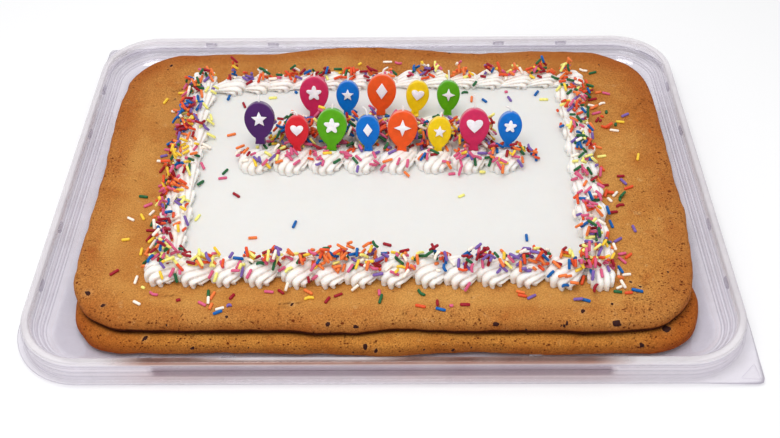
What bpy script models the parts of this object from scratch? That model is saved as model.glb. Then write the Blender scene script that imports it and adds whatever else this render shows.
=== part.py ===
"""Double cookie cake with piped icing and balloon candles, in its clear food tray.

Metres, Z up. The origin is the middle of the tray's underside, X runs along the
long side and Y runs from the front to the back of the cake.
"""

import math
import random

import bmesh
import bpy
from mathutils import Matrix, Vector
from mathutils.bvhtree import BVHTree

# Gap between neighbouring pieces
GAP = 0.0003
# Distance under which points are one point
WELD = 0.000001

# Tray: a thin formed sheet with a flange, a hollow rim and stepped inner walls
TRAY_LENGTH = 0.490
TRAY_WIDTH = 0.365
TRAY_SHEET = 0.0008
TRAY_CORNER = 0.0495
TRAY_RIM_TOP = 0.018
TRAY_FLANGE_TOP = 0.0033
TAB_DROOP = 0.0013
ARC_STEPS = 6
# Distance in from the flange's edge and height of each bend, from the floor out
TRAY_PROFILE = [
    (0.0205, TRAY_SHEET),
    (0.0193, 0.0045),
    (0.0170, 0.0045),
    (0.0164, 0.0082),
    (0.0141, 0.0082),
    (0.0135, 0.0120),
    (0.0117, 0.0120),
    (0.0105, TRAY_RIM_TOP),
    (0.0055, TRAY_RIM_TOP),
    (0.0042, 0.0090),
    (0.0035, TRAY_FLANGE_TOP),
    (0.0, TRAY_FLANGE_TOP),
]
LUG_LENGTH = 0.010
LUG_HEIGHT = 0.0040
LUG_DEPTH = 0.0018
LUG_TOP = 0.0168
LUG_INSET = 0.0108
LUG_ROOT = 0.0005
LUG_SLOPE = 0.0008
LUG_NARROWING = 0.72
LUG_ALONG_X = [-0.152, -0.098, 0.098, 0.152]
LUG_ALONG_Y = [-0.108, -0.052, 0.052, 0.108]

# Cookies
COOKIE_THICK = 0.0129
COOKIE_SPAN = 0.428
COOKIE_DEPTH = 0.296
COOKIE_CORNER = 0.046
COOKIE_LONG_STEPS = 7
COOKIE_SHORT_STEPS = 5
LOWER_FLOOR = TRAY_SHEET + GAP
UPPER_FLOOR = LOWER_FLOOR + COOKIE_THICK + GAP
COOKIE_TOP = UPPER_FLOOR + COOKIE_THICK
# Waves of the outline: height, number round it, and how fast they turn with the phase
COOKIE_WAVES = [(0.0009, 7, 1.0), (0.0007, 12, 2.3)]
LOWER_CENTRE = Vector((0.0015, -0.0115))
LOWER_PHASE = 0.4
UPPER_CENTRE = Vector((0.0018, -0.0040))
UPPER_PHASE = 1.7
# Wider swells: place, reach and amount
LOWER_SWELLS = [(0.214, -0.07, 0.05, 0.0015)]
UPPER_SWELLS = [(-0.020, 0.148, 0.065, 0.0085), (0.214, 0.03, 0.08, 0.0022)]
# Distance in from the edge and share of the thickness, from the bottom up
COOKIE_PROFILE = [
    (0.0050, 0.00),
    (0.0012, 0.16),
    (0.0000, 0.50),
    (0.0013, 0.80),
    (0.0046, 0.955),
    (0.0100, 1.00),
]

# Icing
FIELD_THICK = 0.0027
FIELD_FLOOR = COOKIE_TOP + GAP
FIELD_TOP = FIELD_FLOOR + FIELD_THICK
FIELD_HALF_X = 0.149
FIELD_BACK = 0.096
FIELD_FRONT = -0.113
FIELD_CORNER = 0.012

# Piped border: corners of the shells' middle line, anticlockwise from the front left
BORDER_CORNERS = [
    Vector((-0.1450, -0.1095)),
    Vector((0.1450, -0.1125)),
    Vector((0.1475, 0.0985)),
    Vector((-0.0250, 0.0995)),
    Vector((-0.1465, 0.0915)),
]
SHELL_PITCH = 0.0222
# Share of one more shell that a side is stretched by before it gets that shell
LOOSER = 0.2
SHELL_LENGTH = 0.0315
SHELL_WIDTH = 0.0255
SHELL_HEIGHT = 0.0108
BACK_SHELL_SIZE = 0.82
SHELL_TURN = math.radians(22)
SHELL_BEND = 0.0032
# Place along the shell as a share of its length, and share of its full section
SHELL_STATIONS = [
    (-0.44, 0.38),
    (-0.32, 0.84),
    (-0.04, 1.00),
    (0.28, 0.66),
    (0.54, 0.22),
]
RIDGE_COUNT = 5
RIDGE_DEPTH = 0.17
# Depth of a shell's flat underside below the surface, before it is cut level
SHELL_SUNK = 0.0006

# Two piped rows that hold the candles
ROW_FLOOR = FIELD_TOP + GAP
ROW_SHELL_HEIGHT = 0.0084
ROW_SHELL_LENGTH = 0.0390
ROW_SHELL_WIDTH = 0.0260
ROW_SHELL_TURN = math.radians(44)
ROW_FRONT_COUNT = 8
ROW_FRONT_PITCH = 0.0262
ROW_FRONT_Y = 0.0005
ROW_REAR_COUNT = 6
ROW_REAR_PITCH = 0.0258
ROW_REAR_Y = 0.0375

# Candles
LEAN = math.radians(22)
ENTRY_HEIGHT = 0.033
FRONT_ENTRY_Y = 0.005
REAR_ENTRY_Y = 0.047
FRONT_PITCH = 0.02655
REAR_PITCH = 0.0257
REAR_MIDDLE_X = -0.0027
BIG_WIDTH = 0.0222
BIG_HEIGHT = 0.0320
SMALL_WIDTH = 0.0176
SMALL_HEIGHT = 0.0271
BALLOON_THICK = 0.0060
BALLOON_ROUND = 0.0011
# Half widths of a big balloon's knot and neck, and heights of its neck and widest part
KNOT_HALF = 0.0037
NECK_HALF = 0.0034
NECK_HEIGHT = 0.0048
WIDEST_HEIGHT = 0.0195
OUTLINE_STEPS = 4
# Room that a big balloon's lower end has pressed into the icing
KNOT_ROOM_HALF = 0.0052
KNOT_ROOM_HEIGHT = 0.008
MOTIF_THICK = 0.0010
# Size and height of a motif as shares of the balloon's width and height
MOTIF_SIZE = 0.27
MOTIF_PLACE = 0.61
WICK_RADIUS = 0.00065
PICK_RADIUS = 0.0012
PICK_SIDES = 6
PICK_DEPTH = 0.0022
SOCKET_SPARE = 0.01

# Sprinkles
SPRINKLE_LENGTH = 0.0078
SPRINKLE_RADIUS = 0.0011
SPRINKLE_TIP = 0.0009
SPRINKLE_SINK = 0.0005
SPRINKLES_ON_COOKIE = 22
SPRINKLES_ON_FIELD = 8
SPRINKLES_ON_BORDER = 18
SPRINKLES_ON_FRONT_ROW = 8
SPRINKLES_ON_REAR_ROW = 7
# Least distance of a sprinkle from a pick, a row's middle, and the border's middle
PICK_CLEARANCE = 0.0085
ROW_CLEARANCE = 0.030
BORDER_CLEARANCE = 0.022
# Parts of the cookie and the field that sprinkles are drawn over
COOKIE_X = (-0.198, 0.202)
COOKIE_Y = (-0.142, 0.126)
FIELD_X = (-0.118, 0.118)
FIELD_Y = (-0.088, 0.070)
SEED = 4127

# How far a cutter reaches past what it cuts, sideways and down
CUTTER_REACH = 0.06
CUTTER_DEPTH = 0.02

# Candle by candle: place in its row in steps of the pitch, wax, size, height of the
# knot above the pick's entry, tilt to the right in degrees, motif, and how far its
# wick leans to the right and reaches up
FRONT_CANDLES = [
    (0.055, "purple", "big", 0.0092, 0.6, "star", (0.0000, 0.0045)),
    (1.06, "red", "small", 0.0037, 2.5, "heart", (-0.0052, 0.0023)),
    (2.03, "green", "big", 0.0039, 2.4, "flower", (0.0006, 0.0030)),
    (3.075, "blue", "small", 0.0035, -1.0, "diamond", (-0.0034, 0.0062)),
    (4, "orange", "big", 0.0020, 2.0, "sparkle", (-0.0004, 0.0032)),
    (5, "yellow", "small", 0.0019, 4.5, "star", (0.0008, 0.0034)),
    (6, "pink", "big", 0.0033, 1.4, "heart", (-0.0008, 0.0102)),
    (6.94, "blue", "small", 0.0057, 4.6, "flower", (-0.0050, 0.0034)),
]
REAR_CANDLES = [
    (0, "pink", "big", 0.0018, 1.5, "flower", (0.0010, 0.0030)),
    (1, "blue", "small", 0.0032, 1.8, "star", (0.0002, 0.0058)),
    (2, "orange", "big", 0.0032, 2.5, "diamond", (0.0042, 0.0052)),
    (3, "yellow", "small", 0.0031, 8.0, "heart", (0.0004, 0.0030)),
    (4, "green", "small", 0.0029, 1.8, "sparkle", (-0.0006, 0.0076)),
]

# Linear colours
COLOURS = {
    "tray": (0.80, 0.81, 0.86),
    "cookie_upper": (0.45, 0.20, 0.055),
    "cookie_lower": (0.43, 0.18, 0.048),
    "icing": (0.90, 0.89, 0.87),
    "purple": (0.055, 0.010, 0.110),
    "red": (0.720, 0.022, 0.030),
    "green": (0.120, 0.400, 0.006),
    "blue": (0.002, 0.115, 0.560),
    "orange": (0.850, 0.090, 0.012),
    "yellow": (0.820, 0.560, 0.006),
    "pink": (0.620, 0.024, 0.110),
    "motif": (0.88, 0.86, 0.88),
    "wick": (0.86, 0.84, 0.82),
    "pick": (0.80, 0.80, 0.82),
}


def clear_scene():
    for obj in list(bpy.data.objects):
        bpy.data.objects.remove(obj, do_unlink=True)


def new_collection(name):
    collection = bpy.data.collections.new(name)
    bpy.context.scene.collection.children.link(collection)
    return collection


def wax(name, colour, roughness=0.5, alpha=1.0):
    """Principled material with one colour, roughness and opacity."""
    material = bpy.data.materials.new(name)
    material.use_nodes = True
    shader = material.node_tree.nodes["Principled BSDF"]
    shader.inputs["Base Color"].default_value = (*colour, 1.0)
    shader.inputs["Roughness"].default_value = roughness
    shader.inputs["Metallic"].default_value = 0.0
    shader.inputs["Alpha"].default_value = alpha
    return material


def object_from(bm, name, collection, material=None):
    """Turn a bmesh into an object, with its faces pointing outwards."""
    bmesh.ops.recalc_face_normals(bm, faces=bm.faces)
    mesh = bpy.data.meshes.new(name)
    bm.to_mesh(mesh)
    bm.free()
    obj = bpy.data.objects.new(name, mesh)
    collection.objects.link(obj)
    if material:
        mesh.materials.append(material)
    return obj


def stack_rings(bm, rings):
    """Extrude a flat face through the rings, which all have the same number of points."""
    slot = bm.verts.layers.int.new("slot")
    corners = []
    for index, point in enumerate(rings[0]):
        vertex = bm.verts.new(point)
        vertex[slot] = index
        corners.append(vertex)
    first = bm.faces.new(corners)
    face = first
    for ring in rings[1:]:
        grown = bmesh.ops.extrude_face_region(bm, geom=[face])
        if face is not first:
            bmesh.ops.delete(bm, geom=[face], context="FACES_ONLY")
        for item in grown["geom"]:
            if isinstance(item, bmesh.types.BMVert):
                item.co = ring[item[slot]]
            if isinstance(item, bmesh.types.BMFace):
                face = item
    return face


def evaluated_mesh(obj):
    graph = bpy.context.evaluated_depsgraph_get()
    graph.update()
    return bpy.data.meshes.new_from_object(obj.evaluated_get(graph))


def bake(obj):
    """Replace the object's mesh by its evaluated one and drop the modifiers."""
    mesh = evaluated_mesh(obj)
    mesh.name = obj.name
    obj.modifiers.clear()
    obj.data = mesh
    return obj


def boolean(obj, operation, operand, solver="EXACT"):
    """Join or cut with one object or a whole collection."""
    modifier = obj.modifiers.new(operation.lower(), "BOOLEAN")
    modifier.operation = operation
    modifier.solver = solver
    if isinstance(operand, bpy.types.Collection):
        modifier.operand_type = "COLLECTION"
        modifier.collection = operand
    else:
        modifier.object = operand
    return modifier


def islands(bm):
    """Groups of faces that hang together."""
    left = set(bm.faces)
    groups = []
    while left:
        stack = [left.pop()]
        group = []
        while stack:
            face = stack.pop()
            group.append(face)
            for edge in face.edges:
                for other in edge.link_faces:
                    if other in left:
                        left.remove(other)
                        stack.append(other)
        groups.append(group)
    return groups


def keep_main_body(obj):
    """Weld the mesh and keep only its largest closed body."""
    bm = bmesh.new()
    bm.from_mesh(obj.data)
    bmesh.ops.remove_doubles(bm, verts=bm.verts, dist=WELD)
    groups = sorted(islands(bm), key=lambda group: sum(face.calc_area() for face in group))
    scraps = [face for group in groups[:-1] for face in group]
    bmesh.ops.delete(bm, geom=scraps, context="FACES")
    bm.to_mesh(obj.data)
    bm.free()


def remove_pieces(collection):
    for obj in list(collection.objects):
        bpy.data.objects.remove(obj, do_unlink=True)
    bpy.data.collections.remove(collection)


# Flat outlines

def rounded_rectangle(half_x, half_y, radius, steps, square_corners=()):
    """Anticlockwise points; a corner in square_corners runs out to a sharp corner."""
    points = []
    for corner in range(4):
        side_x = (1, -1, -1, 1)[corner]
        side_y = (1, 1, -1, -1)[corner]
        centre = Vector((side_x * (half_x - radius), side_y * (half_y - radius)))
        for step in range(steps + 1):
            angle = math.radians(90) * (corner + step / steps)
            direction = Vector((math.cos(angle), math.sin(angle)))
            reach = radius
            if corner in square_corners:
                reach = radius / max(abs(direction.x), abs(direction.y))
            points.append(centre + direction * reach)
    return points


def split_straights(points, long_steps, short_steps, shortest):
    """The same closed outline with extra points along its four straight sides."""
    result = []
    for start, end in zip(points, points[1:] + points[:1]):
        along = end - start
        steps = 1
        if along.length > shortest:
            steps = long_steps if abs(along.x) > abs(along.y) else short_steps
        for step in range(steps):
            result.append(start.lerp(end, step / steps))
    return result


def outward(points, index):
    """Outward direction at one point of an anticlockwise outline."""
    along = points[(index + 1) % len(points)] - points[index - 1]
    return Vector((along.y, -along.x)).normalized()


# Tray

def tray_ring(inset, height):
    """One bend of the tray; the flange's outer edge has two square pull tabs."""
    is_edge = inset == 0.0
    tabs = (1, 3) if is_edge else ()
    radius = TRAY_CORNER - inset
    flat = rounded_rectangle(
        TRAY_LENGTH / 2 - inset, TRAY_WIDTH / 2 - inset, radius, ARC_STEPS, tabs)
    ring = []
    for number, point in enumerate(flat):
        corner = number // (ARC_STEPS + 1)
        droop = 0.0
        if corner in tabs:
            share = (number % (ARC_STEPS + 1)) / ARC_STEPS
            droop = TAB_DROOP * math.sin(math.pi * share) ** 2
        ring.append(Vector((point.x, point.y, height - droop)))
    return ring


def add_lugs(collection):
    """Small catches for the lid, high on the inner face of the rim."""
    side = TRAY_WIDTH / 2 - LUG_INSET
    end = TRAY_LENGTH / 2 - LUG_INSET
    places = []
    for x in LUG_ALONG_X:
        places.append((Vector((x, side, 0)), 180))
        places.append((Vector((x, -side, 0)), 0))
    for y in LUG_ALONG_Y:
        places.append((Vector((end, y, 0)), 90))
        places.append((Vector((-end, y, 0)), -90))
    for number, (place, turn) in enumerate(places):
        bm = bmesh.new()
        bmesh.ops.create_cube(bm, size=1.0)
        for vertex in bm.verts:
            inner = vertex.co.y > 0
            low = vertex.co.z < 0
            vertex.co.x *= LUG_LENGTH * (LUG_NARROWING if inner else 1.0)
            vertex.co.y = LUG_DEPTH if inner else -LUG_ROOT
            vertex.co.z = LUG_TOP - (LUG_HEIGHT if low else 0.0)
            vertex.co.z += LUG_SLOPE if inner and low else 0.0
        lug = object_from(bm, "lug_%d" % number, collection)
        lug.location = place
        lug.rotation_euler.z = math.radians(turn)


def build_tray(parts):
    bm = bmesh.new()
    lid_face = stack_rings(bm, [tray_ring(inset, height) for inset, height in TRAY_PROFILE])
    bmesh.ops.delete(bm, geom=[lid_face], context="FACES_ONLY")
    bmesh.ops.recalc_face_normals(bm, faces=bm.faces)
    floor = min(bm.faces, key=lambda face: face.calc_center_median().z)
    if floor.normal.z < 0:
        bmesh.ops.reverse_faces(bm, faces=bm.faces)
    mesh = bpy.data.meshes.new("tray")
    bm.to_mesh(mesh)
    bm.free()
    tray = bpy.data.objects.new("tray", mesh)
    parts.objects.link(tray)
    mesh.materials.append(wax("clear_sheet", COLOURS["tray"], 0.08, 0.3))
    sheet = tray.modifiers.new("sheet", "SOLIDIFY")
    sheet.thickness = TRAY_SHEET
    sheet.offset = -1.0
    sheet.use_even_offset = True
    sheet.use_rim = True
    bake(tray)
    for vertex in tray.data.vertices:
        if vertex.co.z < TRAY_SHEET / 2:
            vertex.co.z = 0.0
    lugs = new_collection("lugs")
    add_lugs(lugs)
    boolean(tray, "UNION", lugs)
    bake(tray)
    keep_main_body(tray)
    remove_pieces(lugs)
    return tray


# Cookies

def cookie_outline(centre, swells, phase):
    """Rounded rectangle with a gentle wave and a few wider swells."""
    base = rounded_rectangle(COOKIE_SPAN / 2, COOKIE_DEPTH / 2, COOKIE_CORNER, ARC_STEPS)
    base = split_straights(base, COOKIE_LONG_STEPS, COOKIE_SHORT_STEPS, COOKIE_CORNER)
    points = []
    for index, point in enumerate(base):
        angle = math.atan2(point.y, point.x)
        wave = sum(
            height * math.sin(number * angle + turn * phase)
            for height, number, turn in COOKIE_WAVES)
        for x, y, reach, amount in swells:
            distance = (point - Vector((x, y))).length
            wave += amount * math.exp(-(distance / reach) ** 2)
        points.append(centre + point + outward(base, index) * wave)
    return points


def build_cookie(name, floor, outline, parts):
    rings = []
    for inset, share in COOKIE_PROFILE:
        ring = []
        for index, point in enumerate(outline):
            spot = point - outward(outline, index) * inset
            ring.append(Vector((spot.x, spot.y, floor + share * COOKIE_THICK)))
        rings.append(ring)
    bm = bmesh.new()
    stack_rings(bm, rings)
    cookie = object_from(bm, name, parts, wax(name + "_crumb", COLOURS[name], 0.75))
    cookie.data.shade_smooth()
    return cookie


# Icing

def field_outline(grow):
    half_y = (FIELD_BACK - FIELD_FRONT) / 2
    centre = Vector((0.0, (FIELD_BACK + FIELD_FRONT) / 2))
    flat = rounded_rectangle(FIELD_HALF_X + grow, half_y + grow, FIELD_CORNER + grow, 3)
    return [centre + point for point in flat]


def build_slab(name, outline, floor, top, collection, material=None):
    rings = []
    for height in (floor, top):
        rings.append([Vector((point.x, point.y, height)) for point in outline])
    bm = bmesh.new()
    stack_rings(bm, rings)
    return object_from(bm, name, collection, material)


def shell_mesh(length, width, height, bend):
    """One piped shell: head at -X, tail at +X, ridges from end to end, flat underneath."""
    rings = []
    for place, share in SHELL_STATIONS:
        ring = []
        for step in range(2 * RIDGE_COUNT - 1):
            angle = math.pi * step / (2 * RIDGE_COUNT - 2)
            reach = share * (1.0 - RIDGE_DEPTH * (step % 2))
            side = bend * (2 * place) ** 2
            ring.append(Vector((
                place * length,
                side + math.cos(angle) * reach * width / 2,
                math.sin(angle) * reach * height,
            )))
        rings.append(ring)
    bm = bmesh.new()
    stack_rings(bm, rings)
    return bm


def add_shell(number, collection, place, heading, size, floor):
    length, width, height, bend = size
    bm = shell_mesh(length, width, height, bend)
    shell = object_from(bm, "shell_%02d" % number, collection)
    sunk = SHELL_SUNK * (1.0 + 0.25 * (number % 4))
    shell.location = (place.x, place.y, floor - sunk)
    shell.rotation_euler.z = heading
    return shell


def border_line():
    """Middle line of the border, anticlockwise, as even steps with their headings."""
    spots = []
    for start, end in zip(BORDER_CORNERS, BORDER_CORNERS[1:] + BORDER_CORNERS[:1]):
        along = end - start
        count = math.ceil(along.length / SHELL_PITCH - LOOSER)
        heading = math.atan2(along.y, along.x)
        for step in range(count):
            spots.append((start.lerp(end, step / count), heading))
    return spots


def merge_shells(name, collection, parts, material):
    """Join all shells of a collection into one body."""
    pieces = list(collection.objects)
    base = pieces[0]
    collection.objects.unlink(base)
    parts.objects.link(base)
    boolean(base, "UNION", collection)
    base.name = name
    bake(base)
    base.data.transform(base.matrix_world)
    base.matrix_world = Matrix.Identity(4)
    keep_main_body(base)
    base.data.materials.clear()
    base.data.materials.append(material)
    remove_pieces(collection)
    return base


# Sprinkles

def sprinkle_mesh(length):
    """Five-sided rod with pointed ends, along X."""
    bm = bmesh.new()
    bmesh.ops.create_uvsphere(bm, u_segments=5, v_segments=3, radius=1.0)
    for vertex in bm.verts:
        side = math.copysign(1.0, vertex.co.z)
        if abs(vertex.co.z) > 0.9:
            vertex.co = Vector((side * length / 2, 0.0, 0.0))
        else:
            spoke = Vector((vertex.co.x, vertex.co.y)).normalized() * SPRINKLE_RADIUS
            vertex.co = Vector((side * (length / 2 - SPRINKLE_TIP), spoke.x, spoke.y))
    return bm


def add_sprinkle(number, collection, point, normal, heading, length):
    """Lay a rod on a surface, sunk a little into it."""
    along = Vector((math.cos(heading), math.sin(heading), 0.0))
    along = (along - normal * along.dot(normal)).normalized()
    across = normal.cross(along)
    turn = Matrix((along, across, normal)).transposed().to_4x4()
    middle = point + normal * (SPRINKLE_RADIUS - SPRINKLE_SINK)
    rod = object_from(sprinkle_mesh(length), "sprinkle_%03d" % number, collection)
    rod.matrix_world = Matrix.Translation(middle) @ turn
    return rod


def scatter(host, spots, rng, solver="EXACT"):
    """Fuse a sprinkle to the host under each spot."""
    collection = new_collection(host.name + "_sprinkles")
    bm = bmesh.new()
    bm.from_mesh(host.data)
    tree = BVHTree.FromBMesh(bm)
    bm.free()
    number = 0
    for x, y in spots:
        point, normal, _, _ = tree.ray_cast(Vector((x, y, 0.2)), Vector((0, 0, -1)))
        if point is None:
            continue
        heading = rng.uniform(0, math.pi)
        length = SPRINKLE_LENGTH * rng.uniform(0.8, 1.05)
        add_sprinkle(number, collection, point, normal, heading, length)
        number += 1
    boolean(host, "UNION", collection, solver)
    bake(host)
    keep_main_body(host)
    remove_pieces(collection)


def spread(count, rng, draw, apart, blocked=()):
    """Random spots that keep their distance from each other and from blocked ones."""
    spots = []
    for _ in range(count * 60):
        if len(spots) == count:
            break
        spot = draw(rng)
        if spot is None:
            continue
        near = any(math.dist(spot, other) < apart for other in spots)
        near = near or any(math.dist(spot, other[:2]) < other[2] for other in blocked)
        if not near:
            spots.append(spot)
    return spots


def cookie_spot(rng):
    """A spot on the bare margin of the upper cookie, thickest on the right and in front."""
    x = rng.uniform(*COOKIE_X)
    y = rng.uniform(*COOKIE_Y)
    outer_x = BORDER_CORNERS[2].x + BORDER_CLEARANCE
    inside = BORDER_CORNERS[0].y - BORDER_CLEARANCE < y < BORDER_CORNERS[3].y + BORDER_CLEARANCE
    far = abs(x) > outer_x + BORDER_CLEARANCE
    if (inside and abs(x) < outer_x) or (far and rng.random() < 0.6):
        return None
    return (x, y)


def field_spot(rng):
    return (rng.uniform(*FIELD_X), rng.uniform(*FIELD_Y))


def border_spot(rng):
    """A spot on the outer two thirds of the border, or its upper half in front."""
    place, heading = border_line()[rng.randrange(len(border_line()))]
    outward_side = Vector((math.sin(heading), -math.cos(heading)))
    in_front = abs(outward_side.y + 1) < 0.2
    offset = rng.uniform(-0.008, 0.002) if in_front else rng.uniform(-0.003, 0.008)
    along = Vector((math.cos(heading), math.sin(heading))) * rng.uniform(-0.5, 0.5) * SHELL_PITCH
    spot = place + outward_side * offset + along
    return (spot.x, spot.y)


def row_spot(centre_y, half_x):
    """Draws spots near the middle of a piped row."""
    def draw(rng):
        return (rng.uniform(-half_x, half_x), centre_y + rng.uniform(-0.009, 0.010))
    return draw


# Candles

def balloon_outline(width, height):
    """Half widths of the balloon from the knot up, mirrored to a closed outline."""
    scale = height / BIG_HEIGHT
    neck = NECK_HALF * scale
    neck_height = NECK_HEIGHT * scale
    widest = WIDEST_HEIGHT * scale
    shrink = BALLOON_ROUND
    half = width / 2
    right = [(KNOT_HALF * scale, 0.0), (neck, neck_height)]
    for step in range(1, OUTLINE_STEPS):
        share = step / OUTLINE_STEPS
        y = neck_height + (widest - neck_height) * share
        swell = math.cos((1 - share) * math.pi / 2) ** 0.75
        right.append((neck + (half - neck) * swell, y))
    for step in range(OUTLINE_STEPS):
        angle = step / OUTLINE_STEPS * math.pi / 2
        right.append((half * math.cos(angle), widest + (height - widest) * math.sin(angle)))
    points = [(x - shrink, y if y > 0 else shrink) for x, y in right]
    points.append((0.0, height - shrink))
    points += [(-x, y) for x, y in reversed(points[:-1])]
    return points


def motif_outline(kind, size):
    """Points of a small raised shape, centred on the origin."""
    points = []
    if kind == "star":
        for step in range(10):
            angle = math.pi / 2 + step * math.pi / 5
            reach = size * (1.0 if step % 2 == 0 else 0.46)
            points.append((reach * math.cos(angle), reach * math.sin(angle)))
    if kind == "sparkle":
        for step in range(8):
            angle = math.pi / 2 + step * math.pi / 4
            reach = size * (1.08 if step % 2 == 0 else 0.42)
            points.append((reach * math.cos(angle), reach * math.sin(angle)))
    if kind == "flower":
        for step in range(15):
            angle = math.pi / 2 + step * math.tau / 15
            reach = size * (0.78 + 0.22 * math.cos(5 * (angle - math.pi / 2)))
            points.append((reach * math.cos(angle), reach * math.sin(angle)))
    if kind == "diamond":
        for x, y in ((0, 1.05), (-0.72, 0), (0, -1.05), (0.72, 0)):
            points.append((size * x, size * y))
    if kind == "heart":
        for step in range(12):
            angle = math.tau * step / 12
            x = math.sin(angle) ** 3
            y = 0.81 * math.cos(angle) - 0.31 * math.cos(2 * angle) - 0.12 * math.cos(3 * angle)
            points.append((-size * x, size * (y + 0.10)))
    return points


def flat_curve(name, points, half_thick, round_edge, collection, material):
    """Upright flat shape made from a filled outline."""
    data = bpy.data.curves.new(name, "CURVE")
    data.dimensions = "2D"
    data.fill_mode = "BOTH"
    data.extrude = half_thick - round_edge
    data.bevel_depth = round_edge
    data.bevel_resolution = 0
    spline = data.splines.new("POLY")
    spline.points.add(len(points) - 1)
    for target, (x, y) in zip(spline.points, points):
        target.co = (x, y, 0.0, 1.0)
    spline.use_cyclic_u = True
    return curve_to_mesh(name, data, collection, material)


def tube_curve(name, points, radius, collection, material):
    """Round string along a few points, with closed ends."""
    data = bpy.data.curves.new(name, "CURVE")
    data.dimensions = "3D"
    data.bevel_depth = radius
    data.bevel_resolution = 0
    data.use_fill_caps = True
    spline = data.splines.new("POLY")
    spline.points.add(len(points) - 1)
    for target, point in zip(spline.points, points):
        target.co = (*point, 1.0)
    return curve_to_mesh(name, data, collection, material)


def curve_to_mesh(name, data, collection, material):
    curve = bpy.data.objects.new(name + "_curve", data)
    collection.objects.link(curve)
    mesh = evaluated_mesh(curve)
    mesh.name = name
    bm = bmesh.new()
    bm.from_mesh(mesh)
    bmesh.ops.remove_doubles(bm, verts=bm.verts, dist=0.00001)
    bmesh.ops.recalc_face_normals(bm, faces=bm.faces)
    bm.to_mesh(mesh)
    bm.free()
    bpy.data.objects.remove(curve, do_unlink=True)
    mesh.materials.clear()
    mesh.materials.append(material)
    obj = bpy.data.objects.new(name, mesh)
    collection.objects.link(obj)
    return obj


def stick(name, radius, low, high, collection, material=None):
    bm = bmesh.new()
    bmesh.ops.create_cone(
        bm, cap_ends=True, segments=PICK_SIDES, radius1=radius, radius2=radius, depth=high - low)
    bmesh.ops.translate(bm, verts=bm.verts, vec=(0, 0, (high + low) / 2))
    return object_from(bm, name, collection, material)


def knot_room(name, height, rise, collection):
    """Room in the icing for the lower end of a balloon."""
    bm = bmesh.new()
    bmesh.ops.create_cube(bm, size=1.0)
    wide = 2 * KNOT_ROOM_HALF * height / BIG_HEIGHT
    bmesh.ops.scale(bm, verts=bm.verts, vec=(wide, BALLOON_THICK + 2 * GAP, KNOT_ROOM_HEIGHT))
    bmesh.ops.translate(bm, verts=bm.verts, vec=(0, 0, rise - GAP + KNOT_ROOM_HEIGHT / 2))
    return object_from(bm, name, collection)


def build_candle(name, spec, entry, parts, sockets, waxes):
    """Pick, balloon, raised motif and wick, all held by one leaning empty."""
    _, colour, size, rise, tilt, motif, wick = spec
    width, height = (BIG_WIDTH, BIG_HEIGHT) if size == "big" else (SMALL_WIDTH, SMALL_HEIGHT)
    stand = bpy.data.objects.new(name + "_stand", None)
    stand.rotation_mode = "YXZ"
    stand.rotation_euler = (-LEAN, math.radians(tilt), 0.0)
    stand.location = entry
    parts.objects.link(stand)

    pick = stick(name + "_pick", PICK_RADIUS, -PICK_DEPTH, rise - GAP, parts, waxes["pick"])
    pick.parent = stand
    low = -PICK_DEPTH - SOCKET_SPARE
    socket = stick(name + "_socket", PICK_RADIUS + GAP, low, rise + SOCKET_SPARE, sockets)
    socket.parent = stand
    knot_room(name + "_room", height, rise, sockets).parent = stand

    upright = (math.pi / 2, 0.0, 0.0)
    balloon = flat_curve(
        name + "_balloon", balloon_outline(width, height), BALLOON_THICK / 2, BALLOON_ROUND,
        parts, waxes[colour])
    balloon.parent = stand
    balloon.location = (0.0, 0.0, rise)
    balloon.rotation_euler = upright

    raised = flat_curve(
        name + "_motif", motif_outline(motif, MOTIF_SIZE * width), MOTIF_THICK / 2, 0.0,
        parts, waxes["motif"])
    raised.parent = stand
    front = -(BALLOON_THICK + MOTIF_THICK) / 2 - GAP
    raised.location = (0.0, front, rise + MOTIF_PLACE * height)
    raised.rotation_euler = upright

    side, up = wick
    crown = rise + height + GAP
    middle = (side * 0.30, 0.0, crown + max(up * 0.62, 3 * WICK_RADIUS))
    string = tube_curve(
        name + "_wick", [(0.0, 0.0, crown), middle, (side, 0.0, crown + up)], WICK_RADIUS,
        parts, waxes["wick"])
    string.parent = stand


def build_candles(parts, sockets):
    """Both rows of candles; returns the places that sprinkles keep clear of."""
    waxes = {name: wax("wax_" + name, COLOURS[name], 0.35) for name in (
        "purple", "red", "green", "blue", "orange", "yellow", "pink", "motif", "wick", "pick")}
    blocked = []
    rows = (
        ("front", FRONT_CANDLES, FRONT_PITCH, 0.0, FRONT_ENTRY_Y),
        ("rear", REAR_CANDLES, REAR_PITCH, REAR_MIDDLE_X, REAR_ENTRY_Y),
    )
    for row, specs, pitch, middle_x, entry_y in rows:
        for number, spec in enumerate(specs):
            x = middle_x + (spec[0] - (len(specs) - 1) / 2) * pitch
            entry = Vector((x, entry_y, ENTRY_HEIGHT))
            build_candle("%s_%d" % (row, number + 1), spec, entry, parts, sockets, waxes)
            blocked.append((x, entry_y, PICK_CLEARANCE))
    return blocked


def build_row(name, count, pitch, centre_y, parts, material):
    collection = new_collection(name + "_shells")
    size = (ROW_SHELL_LENGTH, ROW_SHELL_WIDTH, ROW_SHELL_HEIGHT, SHELL_BEND)
    for number in range(count):
        place = Vector(((number - (count - 1) / 2) * pitch, centre_y))
        add_shell(number, collection, place, ROW_SHELL_TURN, size, ROW_FLOOR)
    return merge_shells(name, collection, parts, material)


def build_border(parts, material, rng):
    collection = new_collection("border_shells")
    for number, (place, heading) in enumerate(border_line()):
        swell = rng.uniform(0.93, 1.06)
        if math.cos(heading) < -0.5:
            swell *= BACK_SHELL_SIZE
        size = (SHELL_LENGTH, SHELL_WIDTH * swell, SHELL_HEIGHT * swell, SHELL_BEND)
        turn = heading + SHELL_TURN + rng.uniform(-0.10, 0.10)
        add_shell(number, collection, place, turn, size, FIELD_FLOOR)
    return merge_shells("border", collection, parts, material)


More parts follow.
